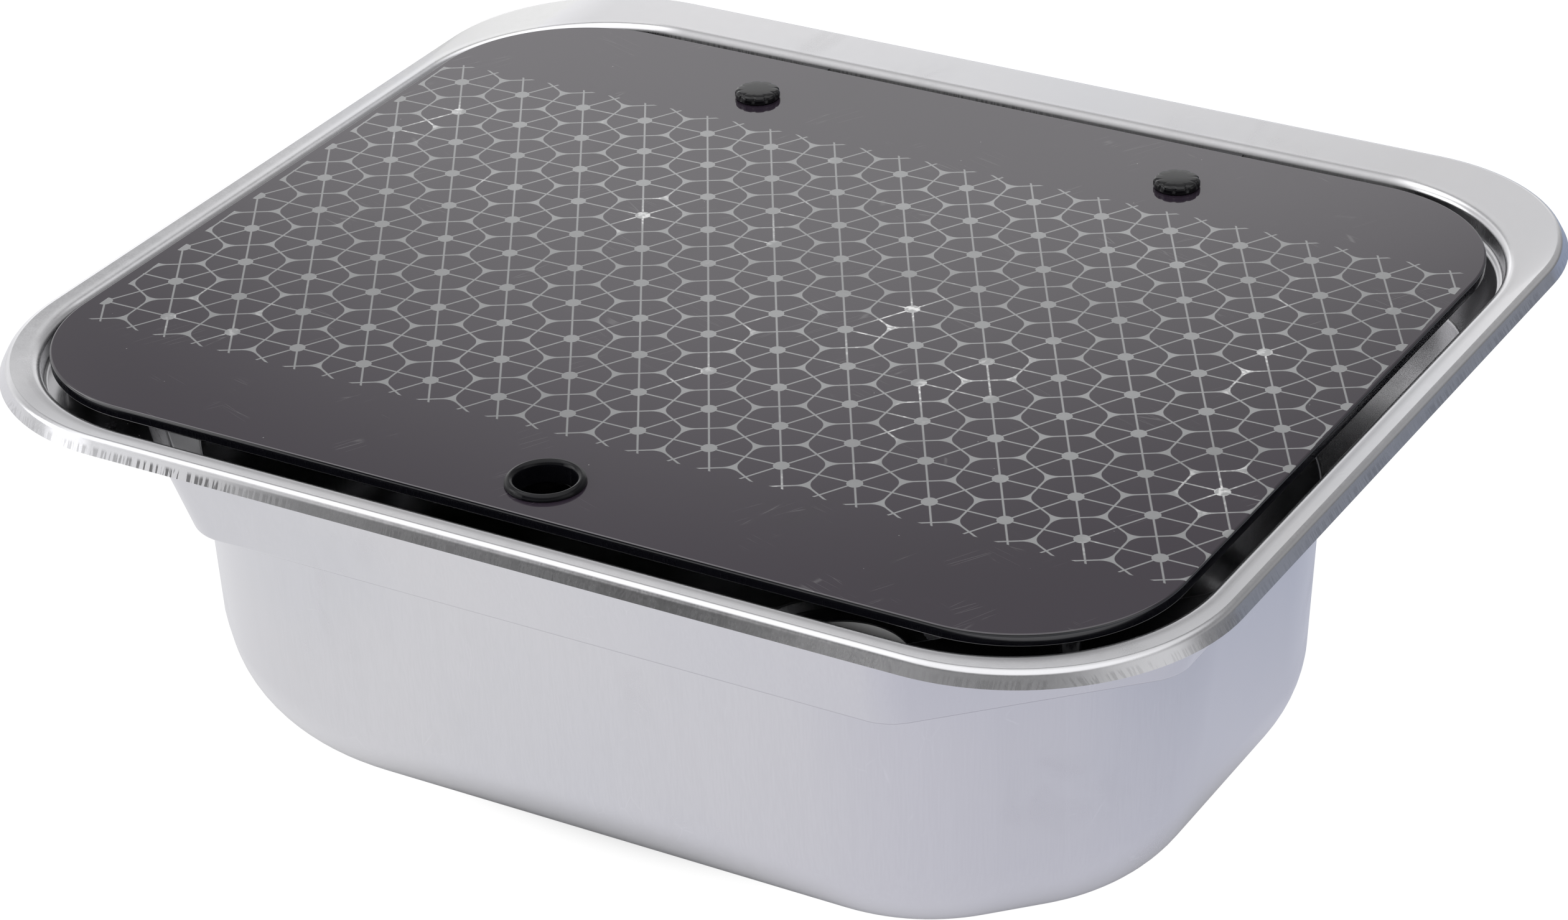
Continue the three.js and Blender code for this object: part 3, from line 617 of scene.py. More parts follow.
@dataclass(frozen=True)
class PrintedGlass(Finish):
    """Black-backed glass with the silver honeycomb print on its upper face, and painted glints on the print."""

    silver: Triple = (0.25, 0.253, 0.258)
    # Painted glint colour on the print.
    painted_glint: Colour = (0.8, 0.8, 0.8, 1.0)
    edge: Colour = (0.004, 0.004, 0.006, 1.0)
    mark: Colour = (0.5, 0.5, 0.5, 1.0)
    ground_shades: Pair = (0.92, 1.08)
    smear_shade: float = 0.72
    ior: float = 1.52
    shine: float = 0.85
    face: Band = (9.0 * MM, 9.35 * MM)
    # Where the painted glints lie on the print.
    glint_streaks: Triple = (30.0, 9.0, 1.0)
    glint_streaked: Band = (0.6, 0.72)
    glint_specked: Band = (0.45, 0.6, 0.25, 1.0)
    pattern: Honeycomb = field(default_factory=Honeycomb)

    def dress(self, graph: Graph, shader: bpy.types.Node) -> None:
        """Adds the print, its painted glints, smears, scratches and dust. See Finish.dress."""
        point = graph.here()
        hands = Handling().place(graph, point, smears=1.0, scratches=0.5)
        dust = Specks().place(graph, point, spread=140.0, amount=0.16)
        ground = graph.blend(graph.cloud(point, 3.0, 2.0), *self.shades(self.ground_shades))
        ground = graph.blend(graph.product(hands["Smear"], 0.5), ground, self.shade(self.smear_shade))
        top = graph.band(graph.parts(point)[2], *self.face)
        ground = graph.blend(top, self.edge, ground)
        printed = graph.product(self.pattern.mask(graph, point), top)
        colour = graph.blend(printed, ground, self.foil_with_painted_glints(graph, point))
        marks = graph.most(graph.product(hands["Scratch"], 0.25), graph.product(dust["Mask"], 0.5))
        colour = graph.blend(graph.product(marks, top), colour, self.mark)
        graph.wire(shader, {
            "Base Color": colour, "Roughness": graph.line(hands["Smear"], 0.05, self.roughness),
            "IOR": self.ior, "Specular IOR Level": self.shine,
            "Metallic": 0.0, "Transmission Weight": 0.0, "Coat Weight": 0.0})

    def foil_with_painted_glints(self, graph: Graph, point: Socket) -> Socket:
        """Colours the silver print, with painted glints where the print would catch the light.

        Args:
            graph: Graph of the material.
            point: Place on the glass.

        Returns:
            The colour.
        """
        streak = graph.noise(graph.stretch(point, self.glint_streaks), 1.0, 3.0, 0.4)
        speck = graph.noise(point, 420.0, 2.0)
        # Painted glints: bright colour in streaks and specks.
        painted_glint = graph.window((streak, self.glint_streaked), (speck, self.glint_specked))
        return graph.blend(painted_glint, graph.scaled(self.silver, graph.cloud(point, 9.0, 2.0, 0.88, 1.12)), self.painted_glint)


@dataclass(frozen=True)
class Moulded(Finish):
    """Moulded rubber or plastic: faint mottling, fine grain, smears and dust."""

    mottle: float = 0.15
    texture: float = 0.1
    size: float = 900.0
    depth: float = 0.2 * MM
    dust: float = 0.1
    paler: float = 0.25
    shine: float = 0.5

    def dress(self, graph: Graph, shader: bpy.types.Node) -> None:
        """Adds mottling, grain and dust. See Finish.dress."""
        point = graph.here()
        hands = Handling().place(graph, point, smears=1.0, scratches=0.8)
        specks = Specks().place(graph, point, spread=420.0, amount=self.dust)
        colour = graph.blend(graph.cloud(point, 90.0, 3.0), *self.shades((1 - self.mottle, 1 + self.mottle)))
        pale = (*(min(1.0, c + self.paler) for c in self.colour), 1.0)
        colour = graph.blend(graph.product(specks["Mask"], 0.4), colour, pale)
        rough = graph.line(hands["Scratch"], 0.2, graph.line(hands["Smear"], 0.12, self.roughness))
        normal = graph.bump(graph.noise(point, self.size, 3.0), self.texture, self.depth)
        graph.wire(shader, {
            "Base Color": colour, "Roughness": rough, "Normal": normal, "Specular IOR Level": self.shine})


@dataclass(frozen=True)
class CellFoam(Finish):
    """Closed-cell foam with small pores."""

    pores: float = 1300.0
    pore_painted_shades: Pair = (0.55, 1.2)
    bump: Pair = (0.6, 0.3 * MM)

    def dress(self, graph: Graph, shader: bpy.types.Node) -> None:
        """Adds the pores, darker at their middles as painted shade. See Finish.dress."""
        pore = graph.band(graph.cells(graph.here(), self.pores)["Distance"], 0.1, 0.5)
        # Painted shade: pore middles darker.
        colour = graph.blend(pore, *self.shades(self.pore_painted_shades))
        graph.wire(shader, {"Base Color": colour, "Normal": graph.bump(pore, *self.bump)})


SHEET = Pressed("pressed stainless", (0.68, 0.675, 0.69), 0.23)
ZINC = Plated("zinc-plated steel", (0.52, 0.53, 0.54), 0.3)
GLASS = PrintedGlass("printed glass", (0.026, 0.019, 0.029), 0.035)
RUBBER = Moulded("black rubber", (0.004, 0.004, 0.0055), 0.16, texture=0.05, shine=0.2)
CAP = Moulded("glossy black cap", (0.003, 0.003, 0.004), 0.07, texture=0.02, size=500.0, shine=0.35)
BLACKED = Plated("black-passivated steel", (0.05, 0.05, 0.055), 0.32)
NYLON = Moulded("white nylon", (0.66, 0.66, 0.62), 0.45, mottle=0.04)
FOAM = CellFoam("black foam", (0.02, 0.02, 0.021), 0.85)


# --------------------------------------------------------------------- shapes


@dataclass(frozen=True)
class Corner:
    """A corner cut at 45 degrees with both ends of the cut rounded.

    Attributes:
        leg: Length cut off each side.
        bend: Radius at both ends of the cut.
    """

    leg: float
    bend: float

    def grown(self, by: float) -> "Corner":
        """The corner of an outline that lies further out."""
        return Corner(self.leg + by * (2 - math.sqrt(2)), self.bend + by)


def quarter(radius: float) -> Corner:
    """A plain quarter-round corner."""
    return Corner(radius * (2 - math.sqrt(2)), radius)


@dataclass(frozen=True)
class Plan:
    """Outline seen from above. Corners: front right, back right, back left, front left."""

    left: float
    right: float
    front: float
    back: float
    corners: tuple[Corner, ...]

    def grown(self, by: float) -> "Plan":
        """The outline moved outwards all round.

        Args:
            by: Distance, negative for inwards.

        Returns:
            The new plan.
        """
        corners = tuple(corner.grown(by) for corner in self.corners)
        return Plan(self.left - by, self.right + by, self.front - by, self.back + by, corners)

    def ring(self, level: float, steps: int = 14) -> Ring:
        """Points round the outline, anticlockwise, always the same number.

        Args:
            level: Height of the points.
            steps: Steps in each half corner.

        Returns:
            The points.
        """
        sharp = ((self.right, self.front), (self.right, self.back), (self.left, self.back), (self.left, self.front))
        eighth = math.pi / 4
        points = []
        for turn, ((x, y), corner) in enumerate(zip(sharp, self.corners)):
            heading = turn * math.pi / 2
            along = Vector((math.cos(heading), math.sin(heading), 0))
            across = Vector((-along.y, along.x, 0))
            reach = corner.leg + corner.bend * math.tan(eighth / 2)
            centres = (
                Vector((x, y, level)) - along * reach + across * corner.bend,
                Vector((x, y, level)) + across * reach - along * corner.bend,
            )
            for centre, start in zip(centres, (heading - 2 * eighth, heading - eighth)):
                for step in range(steps + 1):
                    angle = start + eighth * step / steps
                    points.append(centre + Vector((math.cos(angle), math.sin(angle), 0)) * corner.bend)
        return points


def disc(x: float, y: float, radius: float) -> Plan:
    """A round plan about a centre."""
    return Plan(x - radius, x + radius, y - radius, y + radius, (quarter(radius),) * 4)


def circle(x: float, y: float, radius: float, level: float, steps: int = 96) -> Ring:
    """Points round an upright axis."""
    turns = (2 * math.pi * step / steps for step in range(steps))
    return [Vector((x + radius * math.cos(a), y + radius * math.sin(a), level)) for a in turns]


def arc(start: float, end: float, steps: int) -> list[float]:
    """Angles in radians from start to end, both in degrees."""
    return [math.radians(start + (end - start) * step / steps) for step in range(steps + 1)]


def placed(name: str, data: bpy.types.ID) -> bpy.types.Object:
    """Adds an object to the scene.

    Args:
        name: Name of the object.
        data: Its mesh, camera or lamp.

    Returns:
        The new object.
    """
    made = bpy.data.objects.new(name, data)
    bpy.context.scene.collection.objects.link(made)
    return made


def piece(name: str, rings: Sequence[Ring], closed: bool = False, capped: bool = False) -> bpy.types.Object:
    """Skin through rings of equal counts of points.

    Args:
        name: Name of the piece.
        rings: Rings in millimetres, each anticlockwise.
        closed: Whether the last ring joins the first.
        capped: Whether the first and last ring are filled.

    Returns:
        The new object, smooth shaded.
    """
    count = len(rings[0])
    faces = []
    for i in range(len(rings) if closed else len(rings) - 1):
        j = (i + 1) % len(rings)
        faces += [(i * count + k, i * count + (k + 1) % count, j * count + (k + 1) % count, j * count + k)
                  for k in range(count)]
    if capped:
        faces += [tuple(reversed(range(count))), tuple(range((len(rings) - 1) * count, len(rings) * count))]
    mesh = bpy.data.meshes.new(name)
    mesh.from_pydata([point * MM for ring in rings for point in ring], [], faces)
    shape = bmesh.new()
    shape.from_mesh(mesh)
    bmesh.ops.remove_doubles(shape, verts=shape.verts, dist=1e-6)
    bmesh.ops.dissolve_degenerate(shape, edges=shape.edges, dist=1e-6)
    bmesh.ops.recalc_face_normals(shape, faces=shape.faces)
    for face in shape.faces:
        face.smooth = True
    shape.to_mesh(mesh)
    shape.free()
    return placed(name, mesh)


def bored(target: bpy.types.Object, holes: Sequence[Triple], low: float, high: float) -> None:
    """Drills upright holes through a piece. Lengths are in millimetres.

    Args:
        target: The piece.
        holes: The x, y and radius of each hole.
        low: Level where the drill ends.
        high: Level where the drill starts.
    """
    for hole in holes:
        drill = piece("drill", [circle(*hole, low), circle(*hole, high)], capped=True)
        cut = target.modifiers.new("hole", "BOOLEAN")
        cut.operation, cut.solver, cut.object = "DIFFERENCE", "EXACT", drill
        mesh = bpy.data.meshes.new_from_object(target.evaluated_get(bpy.context.evaluated_depsgraph_get()))
        target.modifiers.clear()
        target.data = mesh
        bpy.data.objects.remove(drill)


def flatten_shading(target: bpy.types.Object, crease: float) -> None:
    """Keeps flats flat and small rounds smooth, with edges sharper than so many degrees as creases."""
    target.modifiers.new("creases", "EDGE_SPLIT").split_angle = math.radians(crease)
    target.modifiers.new("flats", "WEIGHTED_NORMAL").keep_sharp = True


def dress(target: bpy.types.Object, finish: Finish, body: Body, stands_for: str) -> None:
    """Gives a new piece its finish and its place in the part.

    Args:
        target: The piece.
        finish: Its finish.
        body: Moving body that carries it.
        stands_for: Name of the solid that it is shown for.
    """
    target.data.materials.clear()
    target.data.materials.append(finish.material())
    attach(target, body.value)
    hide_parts(stands_for)
    LOG.info("%s stands for %s on %s", target.name, stands_for, body.value)


def carry_over(node: str, finish: Finish, edge: float = 0.12, crease: float = 32.0) -> None:
    """Keeps a solid as it is, with its own finish and slightly broken edges.

    Args:
        node: Name of the solid.
        finish: Its finish.
        edge: Width of the broken edges in millimetres, 0 for none.
        crease: Edges sharper than this are broken and shaded as creases, in degrees.
    """
    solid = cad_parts[node]
    solid.data.materials.clear()
    solid.data.materials.append(finish.material())
    for face in solid.data.polygons:
        face.use_smooth = True
    if edge:
        bevel = solid.modifiers.new("broken edges", "BEVEL")
        bevel.width, bevel.segments = edge * MM, 2
        bevel.limit_method, bevel.angle_limit = "ANGLE", math.radians(crease)
    flatten_shading(solid, crease)
    LOG.info("%s keeps its solid", node)


# --------------------------------------------------------------- sub-assemblies


@dataclass(frozen=True)
class Station:
    """One station down the sheet: its plan, level and the tilt of its upper face in radians."""

    plan: Plan
    level: float
    tilt: float

    def rings(self, sheet: float) -> tuple[Ring, Ring]:
        """Upper and lower ring of the sheet at this station."""
        lower = self.plan.grown(sheet * math.cos(self.tilt))
        return self.plan.ring(self.level), lower.ring(self.level - sheet * math.sin(self.tilt))


def bent(plan: Plan, level: float, radius: float, tilts: Sequence[float]) -> list[Station]:
    """Stations round a bend of the sheet.

    Args:
        plan: Plan where the sheet would stand upright at the bend's outer side.
        level: Level where the sheet would lie flat.
        radius: Radius of the upper face, negative where that face is inside the bend.
        tilts: Tilts of the stations in radians.

    Returns:
        The stations.
    """
    return [Station(plan.grown(radius * (1 - math.cos(t))), level - radius * (1 - math.sin(t)), t) for t in tilts]


@dataclass
class PressedSink:
    """The pressed sheet: rim, upper section with its ledge, shelf, bowl and drain dimple. Sizes in millimetres."""

    sheet: float = 0.8
    length: float = 500.0
    width: float = 438.0
    height: float = 5.5
    rim_corner_front: float = 84.5
    rim_corner_back: float = 78.0
    bead: float = 3.0
    skirt_lean: float = 28.0
    skirt_share: float = 0.1
    land_side: float = 14.3
    land_front: float = 13.7
    land_back: float = 31.5
    dish: float = 0.35
    dish_steps: tuple[Pair, ...] = ((3.0, 0.02), (1.0, 0.0))
    opening_corner: float = 75.0
    opening_roll: float = 3.5
    ledge_depth: float = 9.0
    ledge_inset: float = 2.4
    ledge_bend: float = 1.5
    ledge_round: Pair = (0.35, 0.85)
    ledge_cut: float = 86.0
    cut_round: float = 20.0
    recess_depth: float = 44.5
    recess_half: float = 220.2
    taper_back: float = 5.0
    fillet: float = 1.5
    wall_tilt: float = 15.0
    recess_corner: float = 60.0
    recess_cut: float = 81.0
    bowl_sides: tuple[float, float, float, float] = (-207.9, 217.0, -191.0, 93.6)
    bowl_depth: float = 152.1
    bowl_edge: float = 1.5
    draft: float = 5.6
    floor_fillet: float = 42.8
    cut_left: Pair = (81.4, 126.8)
    cut_right: Pair = (72.0, 94.6)
    corner_back: float = 116.0
    tighten: float = 8.5
    front_shelf: float = 0.2
    drain: Pair = (17.0, -2.0)
    drain_radius: float = 28.5
    dimple: float = 41.0
    dimple_flat: float = 0.3
    dimple_depth: float = 4.0
    dimple_fillet: float = 1.5
    floor_fall: float = 1.2
    tap_radius: float = 17.5
    rivet_hole: float = 2.3
    hinge_spacing: float = 189.0
    rivet_spacing: float = 23.0
    rivet_y: float = 164.65
    drill: Pair = (-3.0, 2.0)
    crease: float = 50.0

    def __post_init__(self) -> None:
        """Works out the plans that the sizes give."""
        half, deep = self.length / 2, self.width / 2
        front, back = quarter(self.rim_corner_front), quarter(self.rim_corner_back)
        self.rim = Plan(-half, half, -deep, deep, (front, back, back, front))
        self.opening = Plan(
            -half + self.land_side, half - self.land_side, -deep + self.land_front, deep - self.land_back,
            (quarter(self.opening_corner),) * 4)
        round_ = quarter(self.corner_back)
        self.bowl = Plan(*self.bowl_sides, (Corner(*self.cut_right), round_, round_, Corner(*self.cut_left)))
        inner = self.opening.grown(-self.ledge_inset)
        cut = Corner(self.ledge_cut, self.cut_round)
        self.ledge = replace(inner, corners=(cut, inner.corners[1], inner.corners[2], cut))
        run = self.bowl_edge + self.front_shelf + self.fillet
        bowl_cut = (self.bowl.right - self.bowl.front - self.bowl.corners[0].leg) * math.sqrt(0.5)
        foot = self.bowl.front - run
        leg = self.recess_half - foot - (bowl_cut + run) * math.sqrt(2)
        round_ = quarter(self.recess_corner)
        self.recess = Plan(
            -self.recess_half, self.recess_half, foot, self.ledge.back - self.taper_back,
            (Corner(leg, self.cut_round), round_, round_, Corner(self.recess_cut, self.cut_round)))
        self.shelf = self.height - self.recess_depth
        self.floor = self.height - self.bowl_depth
        self.land = self.height - self.dish
        self.tap_y = (self.bowl.back + self.recess.back) / 2

    def rim_stations(self) -> list[Station]:
        """Stations of the skirt, the bead, the land and the opening's edge."""
        lean = 180 - self.skirt_lean
        tilt = math.radians(lean)
        foot = self.height - self.bead * (1 - math.sin(tilt))
        splay = foot * math.tan(math.radians(self.skirt_lean))
        bead = self.rim.grown(-splay - self.bead * (1 - math.cos(tilt)))
        land = self.opening.grown(self.opening_roll)
        return [
            Station(self.rim, 0.0, tilt),
            Station(self.rim.grown(-splay * self.skirt_share), foot * self.skirt_share, tilt),
            *bent(bead, self.height, self.bead, arc(lean, 90, 10)),
            *(Station(land.grown(out), self.land + rise, LEVEL) for out, rise in self.dish_steps),
            *bent(self.opening, self.land, self.opening_roll, arc(90, self.wall_tilt, 8)),
        ]

    def ledge_stations(self) -> list[Station]:
        """Stations of the wall above the ledge, the ledge and the bend below it."""
        top = self.height - self.ledge_depth
        tilts = arc(self.wall_tilt, 90, 5)
        bend = self.ledge_bend
        inset, reach = (bend * share for share in self.ledge_round)
        over = [Station(self.ledge.grown(inset - reach * math.cos(t)), top - bend * (1 - math.sin(t)), t)
                for t in reversed(tilts)]
        return [*bent(self.opening.grown(-bend / 4), top, -bend, tilts), *over]

    def bowl_stations(self) -> list[Station]:
        """Stations of the bowl's edge, walls, floor and drain dimple."""
        drop = self.shelf - self.bowl_edge - self.floor - self.floor_fillet
        foot = self.bowl.grown(-drop * math.tan(math.radians(self.draft)))
        share = self.tighten * (2 - math.sqrt(2))
        foot = replace(foot, corners=tuple(Corner(c.leg - share, c.bend - self.tighten) for c in foot.corners))
        edge = self.floor - self.floor_fall
        base = edge - self.dimple_depth
        radius = self.dimple_fillet
        return [
            *bent(self.bowl, self.shelf, self.bowl_edge, arc(90, self.draft, 6)),
            *bent(foot, self.floor, -self.floor_fillet, arc(self.draft, 90, 22)),
            Station(disc(*self.drain, self.dimple + self.dimple_flat), edge, LEVEL),
            *bent(disc(*self.drain, self.dimple - radius), edge, radius, arc(90, 45, 4)),
            *bent(disc(*self.drain, self.dimple - 2 * radius), base, -radius, arc(45, 90, 4)),
            Station(disc(*self.drain, self.drain_radius), base, LEVEL),
        ]

    def build(self) -> bpy.types.Object:
        """Builds the sheet, with its tap and rivet holes."""
        foot = bent(self.recess, self.shelf, -self.fillet, arc(self.wall_tilt, 90, 5))
        stations = [*self.rim_stations(), *self.ledge_stations(), *foot, *self.bowl_stations()]
        pairs = [station.rings(self.sheet) for station in stations]
        rings = [upper for upper, _ in pairs] + [lower for _, lower in reversed(pairs)]
        made = piece("pressed_sheet", rings, closed=True)
        holes = [(0.0, self.tap_y, self.tap_radius)]
        holes += [((side * self.hinge_spacing + end * self.rivet_spacing) / 2, self.rivet_y, self.rivet_hole)
                  for side in (-1, 1) for end in (-1, 1)]
        bored(made, holes, *(self.shelf + reach for reach in self.drill))
        flatten_shading(made, self.crease)
        return made

    def dress(self) -> None:
        """Builds and dresses the sheet and its foam seal."""
        dress(self.build(), SHEET, Body.SINK, "sink_bowl")
        carry_over("rim_seal", FOAM, 0.0)


@dataclass
class GlassLid:
    """The glass, its finger grommet and bumpers. Sizes in millimetres."""

    length: float = 459.0
    width: float = 372.0
    corner: float = 62.0
    front: float = -198.8
    top: float = 9.4
    thickness: float = 5.0
    edge: float = 1.1
    edge_share: float = 0.8
    finger: Pair = (1.5, -175.7)
    finger_radius: float = 13.0
    hinge_y: float = 137.0
    hinge_spacing: float = 189.0
    screw_hole: float = 4.8
    drill_reach: float = 2.0
    crease: float = 35.0
    grommet_radius: float = 14.65
    grommet_bore: float = 11.1
    grommet_crease: float = 40.0
    rise: float = 2.1
    drop: float = 1.8
    seat: float = 0.3
    groove: float = 12.7
    bumper_edge: float = 0.3

    def glass(self) -> bpy.types.Object:
        """Builds the slab with pencil-round edges and its three holes."""
        plan = Plan(-self.length / 2, self.length / 2, self.front, self.front + self.width,
                    (quarter(self.corner),) * 4)
        under = self.top - self.thickness
        rings = []
        for t in arc(-90, 90, 12):
            level = under + self.edge if t < 0 else self.top - self.edge
            inset = self.edge * self.edge_share * (1 - math.cos(t))
            rings.append(plan.grown(-inset).ring(level + self.edge * math.sin(t), 20))
        made = piece("lid_glass", rings, capped=True)
        holes = [(*self.finger, self.finger_radius)]
        holes += [(side * self.hinge_spacing / 2, self.hinge_y, self.screw_hole) for side in (-1, 1)]
        bored(made, holes, under - self.drill_reach, self.top + self.drill_reach)
        flatten_shading(made, self.crease)
        return made

    def grommet(self) -> bpy.types.Object:
        """Builds the rubber ring that lines the finger hole."""
        middle = (self.grommet_radius + self.grommet_bore) / 2
        half = (self.grommet_radius - self.grommet_bore) / 2
        over, under = self.top + self.seat, self.top - self.thickness - self.seat
        profile = [(self.groove, over)]
        for level, height, angles in ((over, self.rise, arc(0, 180, 18)), (under, self.drop, arc(180, 360, 14))):
            profile += [(middle + half * math.cos(t), level + height * math.sin(t)) for t in angles]
        profile += [(self.groove, under)]
        made = piece("finger_ring", [circle(*self.finger, *point) for point in profile], closed=True)
        flatten_shading(made, self.grommet_crease)
        return made

    def dress(self) -> None:
        """Builds and dresses the lid's pieces."""
        dress(self.glass(), GLASS, Body.LID, "glass_lid")
        dress(self.grommet(), RUBBER, Body.LID, "finger_grommet")
        for side in ("left", "right"):
            carry_over(f"lid_bumper_{side}", RUBBER, self.bumper_edge)


@dataclass
class Hinge:
    """One hinge: cover cap, screw, bush, pad, arm, nut, bracket, pin and rivets. Sizes in millimetres."""

    name: str
    side: int
    spacing: float = 189.0
    y: float = 137.0
    glass_top: float = 9.4
    seat: float = 0.3
    cap_radius: float = 9.2
    cap_height: float = 3.3
    cap_wall: float = 1.2
    cap_roof: float = 1.0
    middle: float = 0.02
    foot_break: Pair = (0.4, 0.5)
    side_top: float = 1.6
    shoulder: Pair = (1.5, 1.4)
    dome: float = 0.18
    dome_shares: tuple[float, ...] = (0.8, 0.6, 0.4, 0.2, 0.002)
    dents: int = 10
    dent_steps: int = 16
    dent_depth: float = 0.55
    dent_inner: float = 0.78
    dent_foot: Pair = (0.4, 0.3)
    dent_rise: float = 1.2
    crease: float = 50.0
    pad_edge: float = 0.2

    def cap(self) -> bpy.types.Object:
        """Builds the cover cap, with shallow dents round its shoulder."""
        foot = self.glass_top + self.seat
        crown = foot + self.cap_height
        roof = crown - self.cap_roof
        cavity = self.cap_radius - self.cap_wall
        inset, rise = self.foot_break
        across, up = self.shoulder
        profile = [(self.middle, roof), (cavity - 1, roof), (cavity, foot), (self.cap_radius - inset, foot),
                   (self.cap_radius, foot + rise), (self.cap_radius, foot + self.side_top)]
        profile += [(self.cap_radius - across * (1 - math.cos(t)), crown - self.side_top + up * math.sin(t))
                    for t in arc(5, 75, 7)]
        profile += [(self.cap_radius * share, crown - self.dome * share ** 2) for share in self.dome_shares]
        made = piece(f"cover_cap_{self.name}", [self.dented(*point, foot) for point in profile], capped=True)
        flatten_shading(made, self.crease)
        return made

    def dented(self, radius: float, level: float, foot: float) -> Ring:
        """A ring of the cap, drawn in at each dent.

        Args:
            radius: Radius between the dents.
            level: Height of the ring.
            foot: Height of the cap's foot.

        Returns:
            The ring.
        """
        clear, start = self.dent_foot
        outside = radius > self.cap_radius * self.dent_inner and level > foot + clear
        deep = self.dent_depth * min(1.0, (level - foot - start) / self.dent_rise) if outside else 0.0
        steps = self.dents * self.dent_steps
        points = []
        for step in range(steps):
            angle = 2 * math.pi * step / steps
            reach = radius - deep * max(0.0, math.cos(angle * self.dents)) ** 1.5
            points.append(Vector((self.side * self.spacing / 2 + reach * math.cos(angle),
                                  self.y + reach * math.sin(angle), level)))
        return points

    def dress(self) -> None:
        """Builds the cap and dresses the hinge's metal."""
        dress(self.cap(), CAP, Body.LID, f"hinge_cap_{self.name}")
        for kind in ("screw", "nut"):
            carry_over(f"hinge_{kind}_{self.name}", ZINC)
        for kind in ("arm", "bracket", "pin"):
            carry_over(f"hinge_{kind}_{self.name}", BLACKED)
        for number in (1, 2):
            carry_over(f"bracket_rivet_{self.name}_{number}", ZINC)
        carry_over(f"hinge_bush_{self.name}", NYLON)
        carry_over(f"hinge_pad_{self.name}", RUBBER, self.pad_edge)


# --------------------------------------------------------------------- studio


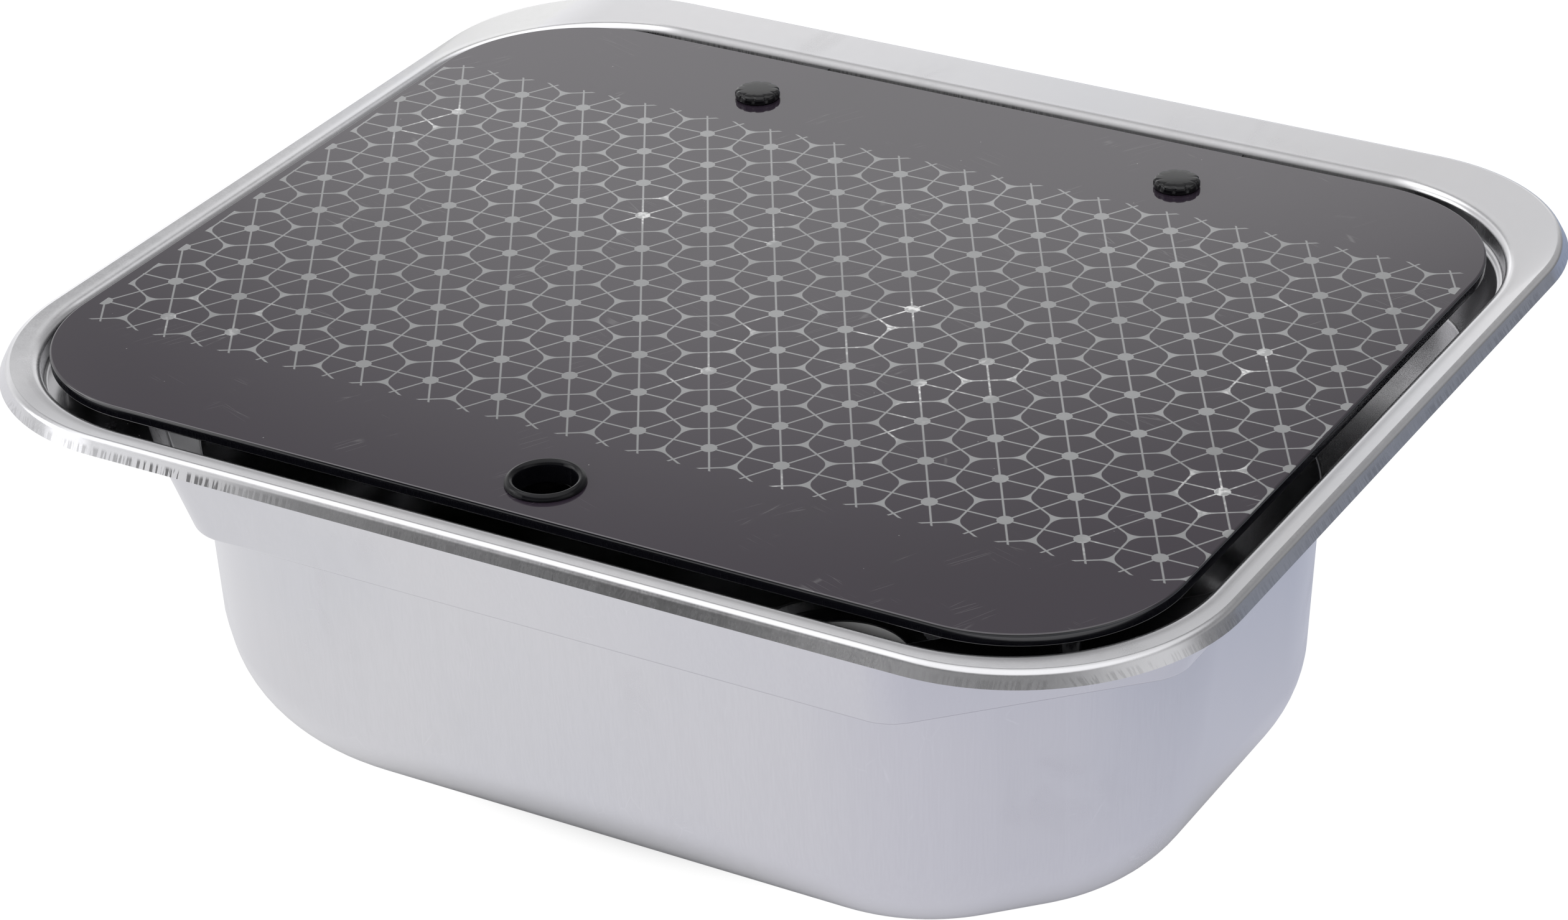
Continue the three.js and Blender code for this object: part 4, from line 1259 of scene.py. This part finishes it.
@dataclass
class Studio:
    """Camera, pale floor, soft light and white surroundings, in metres.

    Bands of the surroundings run over the x, y or z of the direction of view.
    """

    place: Triple = (0.81044715, -1.37010512, 0.80938452)
    right: Triple = (0.86679885, 0.49779643, -0.0292996)
    down: Triple = (0.21834844, -0.43171601, -0.87518298)
    ahead: Triple = (-0.44831206, 0.75221008, -0.48290402)
    lens: float = 108.413
    film: float = 36.0
    clip: Pair = (0.05, 60.0)
    floor_level: float = -0.1532
    floor_half: float = 14.0
    floor_tones: Pair = (0.80, 0.83)
    floor_glow: float = 1.06
    floor_share: float = 0.96
    mirror_slant: float = 0.8
    mirror_run: Band = (0.0, 0.75)
    mirror_ends: tuple[Colour, Colour] = ((0.86, 0.86, 0.88, 1.0), (0.38, 0.44, 0.54, 1.0))
    mirror_grey: Band = (-0.15, 0.25, 1.0, 0.84)
    mirror_blue: Band = (-0.15, 0.25, 1.0, 0.91)
    contact_middle: Pair = (0.005, -0.05)
    contact_half: Pair = (0.17, 0.11)
    contact_edge: Band = (0.6, 1.05)
    contact_wider: float = 0.4
    front: Band = (0.05, 0.75)
    front_dark: float = 0.92
    sides: Bands = ((-0.02, 0.12), (0.55, 0.75, 1.0, 0.0))
    high_dark: Band = (0.25, 0.6, 0.0, 0.25)
    left_panel: Bands = ((-0.565, -0.525, 1.7, 0.0), (-0.5, -0.4, 1.0, 0.0))
    front_panel: Band = (-0.48, -0.40, 0.0, 0.36)
    overhead: Band = (0.66, 0.80, 0.0, 1.5)
    overhead_x: Band = (-0.5, -0.36, 1.0, 0.6)
    wall_middle: float = -0.44
    wall_bend: Band = (-0.02, 0.02, 3.0, 2.0)
    wall_top: Band = (0.43, 0.515, 1.28, 0.5)
    wall_foot: Band = (0.1, 0.37, 0.5, 1.0)
    wall_left: Band = (-0.66, -0.56, 0.6, 0.0)
    wall_y: Band = (0.2, 0.45)
    seen: float = 1.12
    strength: float = 0.92

    def camera(self) -> None:
        """Puts the camera where the photograph was taken from."""
        data = bpy.data.cameras.new("camera")
        data.lens, data.sensor_width, data.sensor_fit = self.lens, self.film, "HORIZONTAL"
        data.clip_start, data.clip_end = self.clip
        made = placed("camera", data)
        right, up, back = Vector(self.right), -Vector(self.down), -Vector(self.ahead)
        turn = Matrix((right, up, back)).transposed().to_4x4()
        made.matrix_world = Matrix.Translation(self.place) @ turn
        bpy.context.scene.camera = made

    def floor(self) -> None:
        """Lays a wide pale floor under the sink, with a soft shadow where it stands."""
        corners = ((-1, -1), (1, -1), (1, 1), (-1, 1))
        rings = [[Vector((x * half, y * half, self.floor_level)) / MM for x, y in corners]
                 for half in (self.floor_half, 0.0)]
        made = piece("floor", rings)
        material = bpy.data.materials.new("pale floor")
        material.use_nodes = True
        graph = Graph(material.node_tree)
        shader = material.node_tree.nodes["Principled BSDF"]
        tone = graph.cloud(graph.here(), 30.0, 3.0, *self.floor_tones)
        graph.wire(shader, {"Base Color": graph.colour(tone, tone, tone), "Roughness": 0.9, "Specular IOR Level": 0.1})
        path = graph.node("ShaderNodeLightPath").outputs
        tint = graph.blend(path["Is Glossy Ray"], (1.0, 1.0, 1.0, 1.0), self.mirrored(graph))
        glow = graph.node("ShaderNodeEmission", {"Color": tint, "Strength": self.floor_glow})
        moved = graph.vector("SUBTRACT", graph.here(), (*self.contact_middle, 0.0))
        away = graph.length(graph.stretch(moved, (*(1 / half for half in self.contact_half), 0.0)))
        near = graph.line(path["Is Glossy Ray"], -self.contact_wider, away)
        seen = graph.total(*(path[f"Is {kind} Ray"] for kind in ("Camera", "Glossy", "Transmission")))
        share = graph.product(graph.math("MINIMUM", seen, 1.0), graph.band(near, *self.contact_edge), self.floor_share)
        mixed = graph.node("ShaderNodeMixShader", {0: share, 1: shader.outputs[0], 2: glow.outputs[0]})
        graph.wire(material.node_tree.nodes["Material Output"], {"Surface": mixed.outputs[0]})
        made.data.materials.append(material)

    def mirrored(self, graph: Graph) -> Socket:
        """Tint of the floor where the sheet mirrors it, bluer and darker towards the right.

        Args:
            graph: Graph of the floor's material.

        Returns:
            The colour.
        """
        x, y, _ = graph.parts(graph.here())
        tint = graph.blend(graph.band(graph.line(y, self.mirror_slant, x), *self.mirror_run), *self.mirror_ends)
        grey, blue = graph.band(x, *self.mirror_grey), graph.band(x, *self.mirror_blue)
        return graph.tinted(tint, graph.colour(grey, grey, blue))

    def surroundings(self) -> None:
        """Lights the sink from a pale studio that is darker towards the front."""
        world = bpy.data.worlds.new("studio")
        bpy.context.scene.world = world
        world.use_nodes = True
        graph = Graph(world.node_tree)
        x, y, z = graph.parts(graph.node("ShaderNodeTexCoord").outputs["Generated"])
        front = graph.band(graph.product(y, -1.0), *self.front)
        sides = graph.window((z, *self.sides))
        level = graph.line(graph.product(front, sides), -self.front_dark, 1.0)
        level = graph.math("SUBTRACT", level, graph.band(z, *self.high_dark))
        level = graph.product(level, self.back_wall(graph, x, y, z))
        panels = graph.total(graph.window(*zip((x, y), self.left_panel)),
                             graph.product(graph.band(x, *self.front_panel), front))
        level = graph.line(panels, sides, level)
        level = graph.total(level, graph.window((z, self.overhead), (x, self.overhead_x)))
        path = graph.node("ShaderNodeLightPath").outputs
        level = graph.most(level, graph.product(path["Is Camera Ray"], self.seen))
        colour = graph.colour(level, level, level)
        graph.wire(world.node_tree.nodes["Background"], {"Color": colour, "Strength": self.strength})

    def back_wall(self, graph: Graph, x: Socket, y: Socket, z: Socket) -> Socket:
        """Brightness of the wall behind the sink: bright low down, with a darker band above it and at its ends.

        Args:
            graph: Graph of the world.
            x: The direction of view to the right.
            y: The direction of view to the back.
            z: The direction of view upwards.

        Returns:
            A factor, 1 away from the wall.
        """
        off = graph.math("SUBTRACT", x, self.wall_middle)
        arched = graph.line(graph.product(off, off), graph.band(off, *self.wall_bend), z)
        wall = graph.window((arched, self.wall_top), (z, self.wall_foot))
        wall = graph.total(wall, graph.band(x, *self.wall_left))
        return graph.line(graph.total(wall, -1.0), graph.band(y, *self.wall_y), 1.0)

    def lamp(self, name: str, place: Triple, size: Pair, power: float) -> None:
        """Hangs a soft rectangular lamp that faces the sink.

        Args:
            name: Name of the lamp.
            place: Where it hangs, in metres.
            size: Width and height in metres.
            power: Power in watts.
        """
        data = bpy.data.lights.new(name, "AREA")
        data.shape, data.size, data.size_y, data.energy = "RECTANGLE", *size, power
        made = placed(name, data)
        made.location = place
        made.rotation_mode = "QUATERNION"
        made.rotation_quaternion = (Vector((0, 0, -0.05)) - Vector(place)).to_track_quat("-Z", "Y")

    def build(self) -> None:
        """Sets up the whole studio."""
        self.camera()
        self.floor()
        self.surroundings()
        self.lamp("left softbox", (-2.4, -0.9, 1.3), (1.2, 1.4), 10.0)
        bpy.context.scene.view_settings.view_transform = "Standard"


def main() -> None:
    """Builds the studio and every sub-assembly."""
    logging.basicConfig(level=logging.INFO, format="%(name)s: %(message)s")
    Studio().build()
    for part in (PressedSink(), GlassLid(), Hinge("left", -1), Hinge("right", 1)):
        part.dress()
        LOG.info("%s is dressed", type(part).__name__)


if __name__ == "__main__":
    main()
